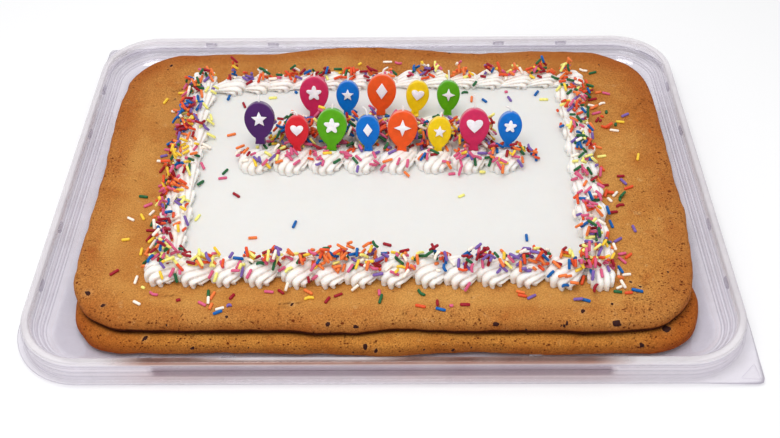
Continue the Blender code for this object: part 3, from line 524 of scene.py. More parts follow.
class Material:
    """A new material, with short calls for the shader nodes that the looks use."""

    def __init__(self, name, roughness=0.5, specular=0.5):
        self.material = bpy.data.materials.new(name)
        self.material.use_nodes = True
        self.tree = self.material.node_tree
        self.shader = self.tree.nodes["Principled BSDF"]
        self.set(Roughness=roughness, Specular_IOR_Level=specular)

    def set(self, **sockets):
        """Set or link sockets of the shader, with underscores for spaces."""
        for key, value in sockets.items():
            self.plug(self.shader.inputs[key.replace("_", " ")], value)

    def plug(self, socket, value):
        """Link a socket to another one, or set its value."""
        if isinstance(value, bpy.types.NodeSocket):
            self.tree.links.new(value, socket)
        else:
            socket.default_value = (*value[:3], 1.0) if socket.type == "RGBA" else value

    def add(self, kind, values, **settings):
        """Outputs of a new node with these sockets and settings."""
        node = self.tree.nodes.new("ShaderNode" + kind)
        for key, value in settings.items():
            setattr(node, key, value)
        for key, value in values.items():
            self.plug(node.inputs[key], value)
        return node.outputs

    def place(self, scale):
        """Object coordinates times the scale."""
        point = self.add("TexCoord", {})["Object"]
        return self.add("Mapping", {"Vector": point, "Scale": scale})["Vector"]

    def grain(self, size, detail=2.0, roughness=0.5, stretch=(1.0, 1.0, 1.0)):
        """Noise with lumps about that many metres across."""
        return self.add("TexNoise", {
            "Vector": self.place([share / size for share in stretch]), "Scale": 1.0,
            "Detail": detail, "Roughness": roughness})["Fac"]

    def between(self, factor, low, high, smooth=True):
        """Factor from low to high, stretched to the range from 0 to 1."""
        return self.add(
            "MapRange", {"Value": factor, "From Min": low, "From Max": high},
            interpolation_type="SMOOTHSTEP" if smooth else "LINEAR")["Result"]

    def cloud(self, low, high, *noise):
        """Noise stretched so that it runs from 0 at low to 1 at high."""
        return self.between(self.grain(*noise), low, high)

    def calc(self, operation, first, second):
        return self.add("Math", {0: first, 1: second}, operation=operation)[0]

    def times(self, first, second):
        return self.calc("MULTIPLY", first, second)

    def mix(self, factor, first, second, mode="MIX"):
        """Mix of two colours."""
        return self.add(
            "Mix", {0: factor, 6: first, 7: second}, data_type="RGBA", blend_type=mode)[2]

    def mark(self, name):
        """Value that the mesh carries under that name."""
        return self.add("Attribute", {}, attribute_name=name)["Fac"]

    def pores(self, size, widest, rarity, amount, uneven):
        """Dark dots in cells about that many metres wide; the rarer, the fewer have one."""
        cells = self.add("TexVoronoi", {
            "Vector": self.place((0.75 / size, 1.0 / size, 1.0 / size)), "Scale": 1.0})
        chance = self.calc("POWER", cells["Color"], rarity)
        reach = self.times(self.times(amount, chance), widest)
        reach = self.times(reach, self.calc("ADD", uneven, 0.5))
        return self.between(self.calc("SUBTRACT", reach, cells["Distance"]), 0.0, 0.05)

    def glow(self, weight, radius, scale):
        self.set(Subsurface_Weight=weight, Subsurface_Radius=radius, Subsurface_Scale=scale)

    def finish(self, colour, height, distance, strength=1.0):
        """Give the shader its colour and relief."""
        bump = self.add("Bump", {"Height": height, "Distance": distance, "Strength": strength})
        self.set(Base_Color=colour, Normal=bump["Normal"])
        return self.material


def sheet_material(look):
    """Clear plastic tinted on edge, with painted shade at bends, floor and flange, a painted cookie
    reflection and painted highlights.
    """
    made = Material("clear_sheet")
    made.tree.nodes.remove(made.shader)
    facing = made.add("LayerWeight", {"Blend": 0.5})["Facing"]
    tint = made.mix(made.between(facing, 0.20, 0.95), look.tint, look.edge_tint)
    # Painted shade along the bends and on floor and flange, and a painted reflection of the cookie on the
    # front panel and rim
    for name in ("bend", "panel", "painted_reflection"):
        tint = made.mix(made.mark(name), tint, getattr(look, name))
    clear = made.add("BsdfTransparent", {"Color": tint})[0]
    haze = made.add("BsdfDiffuse", {"Color": HIGHLIGHT_HAZE_COLOUR})[0]
    gloss = made.add("BsdfGlossy", {"Color": (1, 1, 1), "Roughness": 0.07})[0]
    # Haze paints faint light streaks, and a highlight on the rim's top where there is no painted
    # reflection
    painted_streaks = made.times(made.cloud(0.3, 0.8, 0.02, 3.0, 0.6, (1.0, 1.0, 0.2)), 0.08)
    crown = made.times(made.mark("crown"), 0.32)
    crown = made.times(crown, made.calc("SUBTRACT", 1.0, made.mark("painted_reflection")))
    hazy = made.add("MixShader", {0: made.calc("ADD", painted_streaks, crown), 1: clear, 2: haze})[0]
    mirror = made.times(made.calc("POWER", facing, 4.0), 0.5)
    mixed = made.add("MixShader", {0: made.calc("ADD", mirror, 0.04), 1: hazy, 2: gloss})[0]
    made.plug(made.tree.nodes["Material Output"].inputs["Surface"], mixed)
    return made.material


def crumb_material(name, look, darker, tint):
    """Baked crust: cloudy golden brown, fine crumb, dark pits, browner edges, darker towards the back, and
    painted shadow in the seam and under the upper cookie.
    """
    made = Material(name, 0.8, 0.08)
    tone = made.mix(made.cloud(0.32, 0.68, 0.050, 3.0, 0.55), look.brown, look.golden)
    patch = made.times(made.cloud(0.50, 0.78, 0.013, 3.0, 0.6), 0.46)
    tone = made.mix(patch, tone, look.dark)
    pale = made.times(made.cloud(0.62, 0.78, 0.007), 0.62)
    tone = made.mix(made.calc("MAXIMUM", pale, made.mark("halo")), tone, look.pale)
    fine = made.grain(0.0010, 3.0, 0.8)
    speckle = made.mix(made.between(fine, 0.25, 0.75, False), *SPECKLE_COLOURS)
    porous = made.mark("porous")
    darkening = made.calc("MAXIMUM", made.mark("darkening"), darker)
    rough = made.times(made.calc("ADD", porous, darkening), 0.50)
    tone = made.mix(darkening, tone, look.dark)
    tone = made.mix(made.calc("ADD", rough, 0.62), tone, speckle, "MULTIPLY")
    tone = made.mix(1.0, tone, tint, "MULTIPLY")
    dots = 0.0
    for layer in PORE_LAYERS:
        dots = made.calc("MAXIMUM", dots, made.pores(*layer, porous, fine))
    tone = made.mix(made.times(dots, 0.95), tone, look.pore)
    # Dark pits and cracks, and painted shadow
    tone = made.mix(made.mark("pit_and_shadow"), tone, look.hole_and_shadow)
    return made.finish(tone, made.calc("SUBTRACT", fine, dots), 0.00045, 0.8)


def chocolate_material(look):
    made = Material("chocolate", 0.6, 0.12)
    tone = made.mix(made.cloud(0.35, 0.7, 0.0012, 3.0, 0.6), look.chocolate, look.hole_and_shadow)
    return made.finish(tone, made.grain(0.0007), 0.0002)


def icing_material(name, base, look):
    """White icing with soft light inside, a faintly uneven skin and painted warm shade in the grooves."""
    made = Material(name, 0.46, 0.35)
    white = Vector(base)
    tone = made.mix(made.grain(0.012, 3.0, 0.6), white * 0.975, white * 1.02)
    # Painted shade in the grooves
    tone = made.mix(made.times(made.mark("groove_shade"), 0.7), tone, look.groove)
    made.glow(0.60, (1.0, 0.82, 0.70), 0.0030)
    return made.finish(tone, made.grain(0.0011, 3.0, 0.6), 0.00012, 0.6)


def wax_material(name, look, glow=0.22):
    """Moulded wax: mottled and satin, with a painted highlight along the rounded edges."""
    made = Material("wax_" + name, 0.38, 0.22)
    base = Vector(getattr(look, name))
    tone = made.mix(made.cloud(0.3, 0.75, 0.0045, 3.0, 0.6), base * 0.90, base * 1.06)
    # Painted highlight: paler along the rounded edges
    edge_highlight = made.times(made.mark("rim"), made.cloud(0.25, 0.7, 0.006))
    tone = made.mix(edge_highlight, tone, base.lerp(Vector((1, 1, 1)), 0.22))
    made.glow(glow, (1.0, 0.7, 0.6), 0.0012)
    return made.finish(tone, made.grain(0.0016), 0.00006, 0.6)


def sugar_material(name, look):
    """Glazed sugar rod, lightly mottled."""
    made = Material("sugar_" + name, 0.40, 0.22)
    base = Vector(getattr(look, name))
    tone = made.mix(made.cloud(0.3, 0.7, 0.0016), base * 0.98, base * 1.20)
    return made.finish(tone, made.grain(0.0006), 0.00004, 0.5)


# Shapes

def ray(angle):
    return np.array((cos(angle), sin(angle)))


def corner_middles(half_x, half_y, radius):
    """Middles of a rounded rectangle's corners, anticlockwise from the far right."""
    return [
        np.array((side_x * (half_x - radius), side_y * (half_y - radius)))
        for side_x, side_y in ((1, 1), (-1, 1), (-1, -1), (1, -1))]


def loop(half_x, half_y, radius, steps):
    """Anticlockwise points of a rounded rectangle, as many for every size of it."""
    arc_steps, *straights = steps
    middles = corner_middles(half_x, half_y, radius)
    points = []
    for corner, middle in enumerate(middles):
        for step in range(arc_steps):
            points.append(middle + radius * ray(pi / 2 * (corner + step / arc_steps)))
        start = middle + radius * ray(pi / 2 * (corner + 1))
        run = middles[(corner + 1) % 4] - middle
        straight = straights[corner % 2]
        points += [start + run * (step / straight) for step in range(straight)]
    return np.array(points)


def outward(points):
    """Outward direction at each point of an anticlockwise loop."""
    along = np.roll(points, -1, axis=0) - np.roll(points, 1, axis=0)
    normal = np.stack((along[:, 1], -along[:, 0]), axis=1)
    return normal / np.linalg.norm(normal, axis=1)[:, None]


def smooth_line(stations, count):
    """Even samples of a soft curve through stations of any number of values."""
    table = np.array(stations, dtype=float)
    padded = np.vstack((2 * table[0] - table[1], table, 2 * table[-1] - table[-2]))
    samples = []
    for sample in np.linspace(0, len(table) - 1, count):
        start = min(int(sample), len(table) - 2)
        share = sample - start
        before, here, there, after = padded[start:start + 4]
        samples.append(0.5 * (
            2 * here
            + (there - before) * share
            + (2 * before - 5 * here + 4 * there - after) * share ** 2
            + (3 * here - before - 3 * there + after) * share ** 3))
    return np.array(samples)


def rounded_profile(bends, radius, steps):
    """The bends of a profile turned into short arcs."""
    corners = [np.array(bend) for bend in bends]
    points = [corners[0]]
    for before, corner, after in zip(corners, corners[1:], corners[2:]):
        back = before - corner
        ahead = after - corner
        long_back = np.linalg.norm(back)
        long_ahead = np.linalg.norm(ahead)
        reach = min(radius, 0.45 * long_back, 0.45 * long_ahead)
        start = corner + back / long_back * reach
        end = corner + ahead / long_ahead * reach
        for share in (step / steps for step in range(steps + 1)):
            points.append(
                start * (1 - share) ** 2 + corner * 2 * share * (1 - share) + end * share ** 2)
    return points + [corners[-1]]


def with_height(flat, height):
    """Flat points lifted to a height, which may differ from point to point."""
    return np.column_stack((flat, np.broadcast_to(height, len(flat))))


def clip(values):
    return np.clip(values, 0, 1)


def orient(bm):
    """Turn all faces outward."""
    bmesh.ops.recalc_face_normals(bm, faces=bm.faces)


def skin(rings, marks={}, capped=True):
    """Grid wrapped round rings of points, welded along its seam and capped at its ends."""
    rings = np.asarray(rings)
    around = rings.shape[1]
    bm = bmesh.new()
    bmesh.ops.create_grid(bm, x_segments=around, y_segments=len(rings) - 1, size=1.0)
    layers = {name: bm.verts.layers.float.new(name) for name in marks}
    for number, vertex in enumerate(bm.verts):
        ring, column = divmod(number, around + 1)
        column %= around
        vertex.co = rings[ring, column]
        for name, layer in layers.items():
            vertex[layer] = marks[name][ring, column]
    bmesh.ops.remove_doubles(bm, verts=bm.verts, dist=WELD)
    if capped:
        bmesh.ops.holes_fill(bm, edges=bm.edges, sides=0)
    orient(bm)
    return bm


def tube(points, radii, axis, sides=10):
    """Round bar along points that lie square to the axis."""
    points = np.array(points)
    axis = np.array(axis, dtype=float)
    along = np.gradient(points, axis=0)
    along /= np.linalg.norm(along, axis=1)[:, None]
    side = np.cross(axis, along)
    angles = np.arange(sides) * (tau / sides)
    rings = []
    for point, across, radius in zip(points, side, np.broadcast_to(radii, len(points))):
        round_it = np.outer(np.cos(angles), across) + np.outer(np.sin(angles), axis)
        rings.append(point + radius * round_it)
    return skin(rings)


def ripple(points, size, seed):
    """Smooth noise from about -1 to 1 at each point, with lumps of that size."""
    shift = Vector((seed * 7.3, seed * 3.1, seed * 1.7))
    flat = points.reshape(-1, 3) / size
    values = [noise.noise(Vector(point) + shift) for point in flat]
    return np.array(values).reshape(points.shape[:-1])


def mesh_of(bm, name="raw"):
    """New mesh from a bmesh, which is used up."""
    mesh = bpy.data.meshes.new(name)
    bm.to_mesh(mesh)
    bm.free()
    return mesh


def bmesh_of(mesh):
    bm = bmesh.new()
    bm.from_mesh(mesh)
    return bm


def add_object(name, data):
    made = bpy.data.objects.new(name, data)
    bpy.context.scene.collection.objects.link(made)
    return made


def new_piece(mesh, name, material, nodes, slot=None):
    """Turn a mesh or bmesh into a piece of the cake that stands for CAD nodes."""
    if isinstance(mesh, bmesh.types.BMesh):
        mesh = mesh_of(mesh, name)
    mesh.materials.clear()
    mesh.materials.append(material)
    mesh.shade_smooth()
    piece = add_object(name, mesh)
    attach(piece, "root")
    if nodes:
        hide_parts(*nodes)
    return piece


def move(bm, matrix):
    bmesh.ops.transform(bm, matrix=matrix, verts=bm.verts)


def join(target, bm, matrix=Matrix()):
    """Add a bmesh to another one, turned and moved by the matrix."""
    move(bm, matrix)
    mesh = mesh_of(bm)
    target.from_mesh(mesh)
    bpy.data.meshes.remove(mesh)


def turned(angle):
    return Matrix.Rotation(angle, 4, "Z")


def evaluated(bm, kind, **settings):
    """Mesh of a bmesh after one modifier."""
    mesh = mesh_of(bm)
    raw = add_object("raw", mesh)
    modifier = raw.modifiers.new(kind, kind)
    for key, value in settings.items():
        setattr(modifier, key, value)
    graph = bpy.context.evaluated_depsgraph_get()
    graph.update()
    finished = bpy.data.meshes.new_from_object(raw.evaluated_get(graph))
    bpy.data.objects.remove(raw, do_unlink=True)
    bpy.data.meshes.remove(mesh)
    return finished


def bevel(bm, edges, offset, segments):
    bmesh.ops.bevel(
        bm, geom=edges, offset=offset, offset_type="OFFSET", segments=segments, profile=0.5,
        affect="EDGES", material=-1, clamp_overlap=True)


def thicken(bm):
    """Extrude all faces; the new points are returned."""
    grown = bmesh.ops.extrude_face_region(bm, geom=bm.faces[:])
    return [item for item in grown["geom"] if isinstance(item, bmesh.types.BMVert)]


def vertex_array(mesh, source="co"):
    values = np.zeros(len(mesh.vertices) * 3, np.float32)
    mesh.vertices.foreach_get(source, values)
    return values.reshape(-1, 3)


def place_points(mesh, points):
    mesh.vertices.foreach_set("co", points.astype(np.float32).ravel())


def tree_of_points(points):
    tree = KDTree(len(points))
    for number, point in enumerate(points):
        tree.insert(point, number)
    tree.balance()
    return tree


# Tray

def tray_half_sizes(inset):
    return TRAY_HIGH.x - inset, TRAY_HIGH.y - inset


def tray_loop(inset):
    return loop(*tray_half_sizes(inset), TRAY_CORNER - inset, TRAY_STEPS)


def flange_loop(share):
    """Loop of the flange, out by a share of its width; two corners run out to square tabs."""
    inset = FLANGE_WIDTH * (1 - share)
    flat = tray_loop(inset)
    height = np.full(len(flat), FLANGE_TOP)
    arc_steps, *straights = TRAY_STEPS
    radius = TRAY_CORNER - inset
    start = 0
    for corner, middle in enumerate(corner_middles(*tray_half_sizes(inset), radius)):
        tab_steps = arc_steps + 1 if corner in TAB_CORNERS else 0
        for step in range(tab_steps):
            direction = ray(pi / 2 * (corner + step / arc_steps))
            squared = (abs(direction) ** TAB_SQUARENESS).sum() ** (-1 / TAB_SQUARENESS)
            place = (start + step) % len(flat)
            flat[place] = middle + direction * (radius * (1 + share * (squared - 1)))
            height[place] -= share * TAB_DROOP * sin(pi * step / arc_steps) ** 2
        start += arc_steps + straights[corner % 2]
    return with_height(flat, height)


def panel_share(ring):
    """How far each point lies in the long shallow panel of the front outer wall."""
    low, high = PANEL_HEIGHTS
    along = clip((PANEL_HALF - abs(ring[:, 0])) / 0.004)
    tall = clip((ring[:, 2] - low) / MM) * clip((high - ring[:, 2]) / MM)
    return along * tall * (ring[:, 1] < FRONT_WALL)


def painted_reflection_share(ring, inset):
    """How much painted reflection of the cookie's brown each point of the rim's top gets."""
    brown, bright = (
        clip((half - abs(ring[:, 0] - middle)) / RIM_FADE)
        for middle, half in (REFLECTED_BROWN_RIM, HIGHLIGHT_RIM))
    return brown * (ring[:, 1] < FRONT_WALL) * (1 - bright * (inset > 0.0068))


def tray_skin(look):
    """Sheet from the floor out to the flange's edge, marked for its tints."""
    rings = [with_height(tray_loop(inset), TRAY_SHEET) for inset in FLOOR_INSETS]
    plain = np.zeros(len(rings[0]))
    # Strength of the painted shade or shadow on each ring
    bends = [FLOOR_PAINTED_SHADOW] * len(rings)
    painted_reflection = [plain] * len(rings)
    crown_highlights = [0.0] * len(rings)
    profile = rounded_profile(TRAY_BENDS + [(0.0, FLANGE_TOP)], look.bend_radius, 2)
    for number, (inset, height) in enumerate(profile[:-1]):
        if inset > FLANGE_WIDTH - 0.0006 and height > FLANGE_TOP:
            rings.append(with_height(tray_loop(inset), height))
            sharp = SHARP_BEND_PAINTED_SHADE if abs(inset - SHARP_BEND) < 0.0012 else PLAIN_BEND_PAINTED_SHADE
            bends.append(sharp if number % 3 == 2 else 0.0)
            # The rim's top gets a painted highlight
            crown_highlights.append(1.0 if height > TRAY_HIGH.z - 0.0012 else 0.0)
            painted_reflection.append(crown_highlights[-1] * painted_reflection_share(rings[-1], inset))
    split = len(rings)
    for row in range(FLANGE_ROWS + 1):
        rings.append(flange_loop(row / FLANGE_ROWS))
        bends.append(SHARP_BEND_PAINTED_SHADE if row == FLANGE_ROWS else FLANGE_PAINTED_SHADOW)
        crown_highlights.append(0.0)
        painted_reflection.append(plain)
    # The front panel is pressed in, and its mark also paints a reflection of the cookie on it
    panel = np.zeros((len(rings), len(plain)))
    for row in range(split // 2, split):
        panel[row] = panel_share(rings[row])
        rings[row][:, 1] += look.panel_depth * panel[row]
    ones = np.ones(panel.shape)
    bm = skin(rings, {
        "bend": ones * np.array(bends)[:, None], "crown": ones * np.array(crown_highlights)[:, None],
        "panel": panel, "painted_reflection": np.array(painted_reflection)}, capped=False)
    floor_rim = [
        edge for edge in bm.edges
        if edge.is_boundary and abs(edge.verts[0].co.y) < TRAY_HIGH.y - 0.060]
    bmesh.ops.holes_fill(bm, edges=floor_rim, sides=0)
    orient(bm)
    floor = min(bm.faces, key=lambda face: face.calc_center_median().length)
    if floor.normal.z < 0:
        bmesh.ops.reverse_faces(bm, faces=bm.faces)
    return bm


def tray_catches():
    """Small lid catches high on the inner face of the rim."""
    end, side = tray_half_sizes(CATCH_INSET)
    places = [((x, side, 0), 180) for x in CATCHES_ALONG_X]
    places += [((x, -side, 0), 0) for x in CATCHES_ALONG_X]
    places += [((end, y, 0), 90) for y in CATCHES_ALONG_Y]
    places += [((-end, y, 0), -90) for y in CATCHES_ALONG_Y]
    length, depth, height = CATCH_SIZE
    catches = bmesh.new()
    for place, turn in places:
        bm = bmesh.new()
        bmesh.ops.create_cube(bm, size=1.0)
        for vertex in bm.verts:
            inner = vertex.co.y > 0
            drop = height if vertex.co.z < 0 else 0.0
            vertex.co.x *= length * (0.72 if inner else 1.0)
            vertex.co.z = CATCH_TOP - drop * (0.8 if inner else 1.0)
            vertex.co.y = depth if inner else 0.0
        bevel(bm, bm.edges, CATCH_EDGE, 2)
        # Painted dark outline round each catch, none in its window
        layer = bm.verts.layers.float.new("bend")
        for vertex in bm.verts:
            vertex[layer] = 0.5
        window = max(bm.faces, key=lambda face: face.normal.y * face.calc_area())
        bmesh.ops.inset_region(bm, faces=[window], thickness=CATCH_EDGE, use_even_offset=True)
        for vertex in window.verts:
            vertex[layer] = 0.0
        join(catches, bm, Matrix.Translation(place) @ turned(radians(turn)))
    return catches


def tab_beads():
    """Thin raised triangle on each pull tab."""
    beads = bmesh.new()
    tip = Vector((TRAY_HIGH.x - TAB_TIP, -TRAY_HIGH.y + TAB_TIP))
    near, far = (tip + Vector(run) for run in TAB_TRIANGLE)
    middle = far * 0.5 + tip * 0.5
    for turn in (0, 180):
        corners = [tuple(corner) for corner in (middle, tip, near, far, middle)]
        line = rounded_profile(corners, BEAD_ROUNDING, 4)
        points = [(*point, FLANGE_TOP - BEAD_DEPTH) for point in line]
        join(beads, tube(points, BEAD_RADIUS, (0, 0, 1), 6), turned(radians(turn)))
    return beads


def build_tray(look):
    material = sheet_material(look)
    sheet = evaluated(
        tray_skin(look), "SOLIDIFY", thickness=TRAY_SHEET, offset=-1.0, use_even_offset=True,
        use_rim=True)
    points = vertex_array(sheet)
    points[:, 2] = np.where(points[:, 2] < TRAY_SHEET / 2, 0.0, points[:, 2])
    place_points(sheet, points)
    for mesh, name in ((sheet, "sheet"), (tray_catches(), "catches"), (tab_beads(), "tab_beads")):
        new_piece(mesh, "tray_" + name, material, ["tray"], "clear_sheet")


# Cookies

def cookie_loop(centre, swells, phase):
    """Rounded rectangle with a gentle wave and a few wider swells."""
    base = loop(COOKIE_SPAN / 2, COOKIE_DEPTH / 2, COOKIE_CORNER, COOKIE_STEPS)
    angle = np.arctan2(base[:, 1], base[:, 0])
    wave = sum(
        height * np.sin(bumps * angle + factor * phase) for height, bumps, factor in OUTLINE_WAVES)
    for x, y, reach, amount in swells:
        distance = np.hypot(base[:, 0] - x, base[:, 1] - y)
        wave += amount * np.exp(-(distance / reach) ** 2)
    height, size = OUTLINE_LUMPS
    wave += height * ripple(with_height(base, phase), size, phase)
    return np.array(centre) + base + outward(base) * wave[:, None]


def inner_loop():
    """Loop under the border where the visible crust ends."""
    return np.array((0.0, FIELD_MIDDLE)) + loop(
        FIELD_HALF_X - CRUST_END, FIELD_HALF_Y - CRUST_END, FIELD_CORNER, COOKIE_STEPS)


def cookie_rings(outline, floor, top_rows, top_share):
    """Rings from the underside, up the side and in over the top."""
    out = outward(outline)
    rings = [
        with_height(outline - out * inset, floor + share * COOKIE_THICK)
        for inset, share in smooth_line(COOKIE_SIDE, SIDE_ROWS)]
    shoulder = rings[-1][:, :2]
    inner = inner_loop()
    for row in range(1, top_rows + 1):
        share = row / top_rows * top_share
        flat = shoulder * (1 - share) + inner * share
        rings.append(with_height(flat, floor + COOKIE_THICK))
    return np.array(rings)


def ring_normals(rings):
    along = np.roll(rings, -1, axis=1) - np.roll(rings, 1, axis=1)
    normal = np.cross(along, np.gradient(rings, axis=0))
    return normal / np.maximum(np.linalg.norm(normal, axis=2), 1e-12)[:, :, None]


def dig(rings, normals, pit_and_shadow, digs):
    """Press small long hollows into the crust: place, direction, length, width, depth."""
    flat = rings.reshape(-1, 3)
    tree = tree_of_points(flat)
    drop = np.zeros(len(flat))
    dark = pit_and_shadow.reshape(-1)
    for place, direction, length, width, depth, darkness in digs:
        for point, number, _ in tree.find_range(place, 1.6 * length):
            offset = point - place
            along = offset.dot(direction)
            across = (offset - along * direction).length
            share = exp(-(along / length) ** 2 * 2 - (across / width) ** 2 * 2)
            drop[number] = max(drop[number], depth * share)
            dark[number] = max(dark[number], min(1.0, darkness * share))
    rings -= normals * drop.reshape(rings.shape[:2])[:, :, None]


def pit_list(rings, porous, look, rng, cracks):
    """Long pits that follow the edge, most of them where the crust is porous."""
    rows, around = rings.shape[:2]
    digs = []
    while len(digs) < look.pits:
        row = rng.randrange(7, rows)
        column = rng.randrange(around)
        if rng.random() > porous[row, column] ** 1.5:
            continue
        place = Vector(rings[row, column])
        along = Vector(rings[row, (column + 4) % around]) - place
        along.normalize()
        along.rotate(Euler((0, 0, rng.gauss(0, 0.8))))
        length = MM * rng.triangular(0.5, 1.5, 0.6)
        width = MM * rng.uniform(0.40, 0.65)
        depth = MM * rng.uniform(0.25, 0.6)
        digs.append((place, along, length, width, depth, rng.triangular(0.35, 1.0, 0.7)))
    for *ends, wide in cracks:
        start, end = (Vector((*ends[side:side + 2], COOKIE_TOP / MM)) * MM for side in (0, 2))
        pieces = max(2, round((end - start).length / (2.4 * MM)))
        for step in range(pieces + 1):
            place = start.lerp(end, step / pieces)
            place += Vector((rng.gauss(0, 0.5), rng.gauss(0, 0.4), 0)) * MM
            along = (end - start).normalized()
            along.rotate(Euler((0, 0, rng.gauss(0, 0.6))))
            length = MM * rng.uniform(0.9, 2.0)
            width = MM * wide * rng.uniform(0.35, 0.75)
            digs.append((place, along, length, width, MM * 0.7, rng.uniform(0.6, 1.0)))
    return digs


def porous_map(rings, rng):
    """How full of pores the crust is: much on the shoulder and side, little on the top."""
    rows = np.arange(len(rings))[:, None]
    shoulder = np.exp(-((rows - SIDE_ROWS + 3) / 5.5) ** 2)
    porous = 0.12 + 0.50 * shoulder + 0.56 * clip((SIDE_ROWS - 3 - rows) / 3)
    for x, y, reach, amount in PORE_CLOUDS:
        distance = np.hypot(rings[:, :, 0] / MM - x, rings[:, :, 1] / MM - y)
        porous = porous + amount * np.exp(-(distance / reach) ** 2)
    return clip(porous * (1 + 0.55 * ripple(rings, 0.016, rng.random() * 9)))


def sheltered(rings, cover):
    """How far points lie under the outline of what covers them."""
    tree = tree_of_points(with_height(cover, 0.0))
    flat = rings.reshape(-1, 3)
    nearest = [tree.find((x, y, 0.0))[1] for x, y, _ in flat]
    inside = ((cover[nearest] - flat[:, :2]) * outward(cover)[nearest]).sum(axis=1)
    return clip((inside.reshape(rings.shape[:2]) - 0.0003) / 0.002)


def halos(rings):
    """How near points are to a chip, where the crust is paler."""
    halo = np.zeros(rings.shape[:2])
    for *place, width in CHIPS:
        distance = np.linalg.norm(rings / MM - np.array(place), axis=2)
        halo = np.maximum(halo, 0.7 * clip(1.5 - distance / (0.65 * width)))
    return halo


def bake_cookie(floor, outline, look, rng, top_rows, top_share, cracks, cover=None):
    """Crust with its lumps, pits, marks and painted shadow in the seam; only the lower one has a cover,
    which casts painted shadow on it.
    """
    rings = cookie_rings(outline, floor, top_rows, top_share)
    normals = ring_normals(rings)
    room = np.linalg.norm(rings[:, :, :2] - inner_loop()[None], axis=2)
    free = np.clip((room - 0.020) / 0.014, 0.12, 1.0)
    broad, lump, crumb = (
        height * ripple(rings, size, rng.random() * 9) for height, size in (
            (look.swell * 1.3, 0.045), (look.lump * 1.6, 0.009), (look.crumb * 1.6, 0.0024)))
    shift = broad * free + lump * np.maximum(free, 0.4) + crumb
    rows = np.arange(len(rings))
    rings += normals * (shift * clip((rows - 3) / 4)[:, None])[:, :, None]
    pit_and_shadow = np.zeros(rings.shape[:2])
    porous = porous_map(rings, rng)
    dig(rings, normals, pit_and_shadow, pit_list(rings, porous, look, rng, cracks))
    low = 1 - clip((rings[:, :, 2] - floor) / COOKIE_THICK)
    at_ends, at_edge = (0.18, 0.33) if cover is None else (0.62, 0.08)
    side = at_edge * clip(1 - np.maximum(rows - SIDE_ROWS, 0) / 9)[:, None] + 0.70 * low ** 1.3
    # Darker towards the back
    back = 0.40 * clip(rings[:, :, 1] / 0.15)
    ends = at_ends * clip((abs(rings[:, :, 0]) - 0.145) / 0.05)
    darkening = clip(side + back + ends + 0.14 * ripple(rings, 0.02, 5))
    rings[:, :, 2] = np.clip(rings[:, :, 2], floor, floor + COOKIE_THICK + 0.0012)
    # Painted shadow: the upper cookie's underside in the seam, and the lower cookie under the upper one's
    # edge
    if cover is None:
        shadow = clip((low - 0.56) / 0.10)
    else:
        shadow = 0.95 * sheltered(rings, cover) * (low < 0.5)
    return skin(rings, {
        "pit_and_shadow": np.maximum(pit_and_shadow, shadow), "darkening": darkening, "porous": porous, "halo": halos(rings)})


def chip(rng, tree, goal, width):
    """Rough dark chocolate bit that pokes out of the crust nearest to the goal."""
    place, normal, _, _ = tree.find_nearest(goal)
    bm = bmesh.new()
    bmesh.ops.create_icosphere(bm, subdivisions=2, radius=width / 2)
    shift = Vector((rng.random(), rng.random(), rng.random())) * 10
    for vertex in bm.verts:
        vertex.co *= 1 + 0.45 * noise.noise(vertex.co / width * 2.5 + shift)
    bmesh.ops.scale(bm, vec=(1.0, rng.uniform(0.55, 0.85), 0.42), verts=bm.verts)
    turn = normal.to_track_quat("Z", "X").to_matrix().to_4x4()
    sunk = Matrix.Translation(place - normal * width * 0.10)
    move(bm, sunk @ turn @ turned(rng.uniform(0, tau)))
    return bm


def build_chips(cookies, look, rng):
    """Chips that show one by one, and small ones all round the sides of both cookies."""
    upper, lower = (BVHTree.FromBMesh(bmesh_of(cookie.data)) for cookie in cookies)
    bits = bmesh.new()
    for x, y, z, width in CHIPS:
        goal = Vector((x, y, z)) * MM
        join(bits, chip(rng, upper if z > 20 else lower, goal, 1.2 * width * MM))
    for number in range(SMALL_CHIPS):
        angle = rng.uniform(0, tau)
        tree, floor = (upper, UPPER_FLOOR) if number % 2 else (lower, LOWER_FLOOR)
        height = rng.uniform(0.004, 0.011) + floor
        goal = Vector((CHIP_OVAL[0] * cos(angle), CHIP_OVAL[1] * sin(angle), height))
        join(bits, chip(rng, tree, goal, MM * rng.uniform(1.0, 2.2)))
    new_piece(bits, "chips", chocolate_material(look), [])


def build_cookies(look):
    rng = random.Random(SEED)
    upper_line = cookie_loop(UPPER_CENTRE, UPPER_SWELLS, 1.7)
    lower_line = cookie_loop(LOWER_CENTRE, LOWER_SWELLS, 0.4)
    upper = new_piece(
        bake_cookie(UPPER_FLOOR, upper_line, look, rng, 44, 1.0, CRACKS), "cookie_upper_crust",
        crumb_material("crust_upper", look, 0.0, (1, 1, 1)), ["cookie_upper"], "cookie_top")
    lower = new_piece(
        bake_cookie(LOWER_FLOOR, lower_line, look, rng, 20, 0.4, [], upper_line),
        "cookie_lower_crust", crumb_material("crust_lower", look, 0.10, look.redder),
        ["cookie_lower"], "cookie_bottom")
    build_chips((upper, lower), look, rng)


# Icing

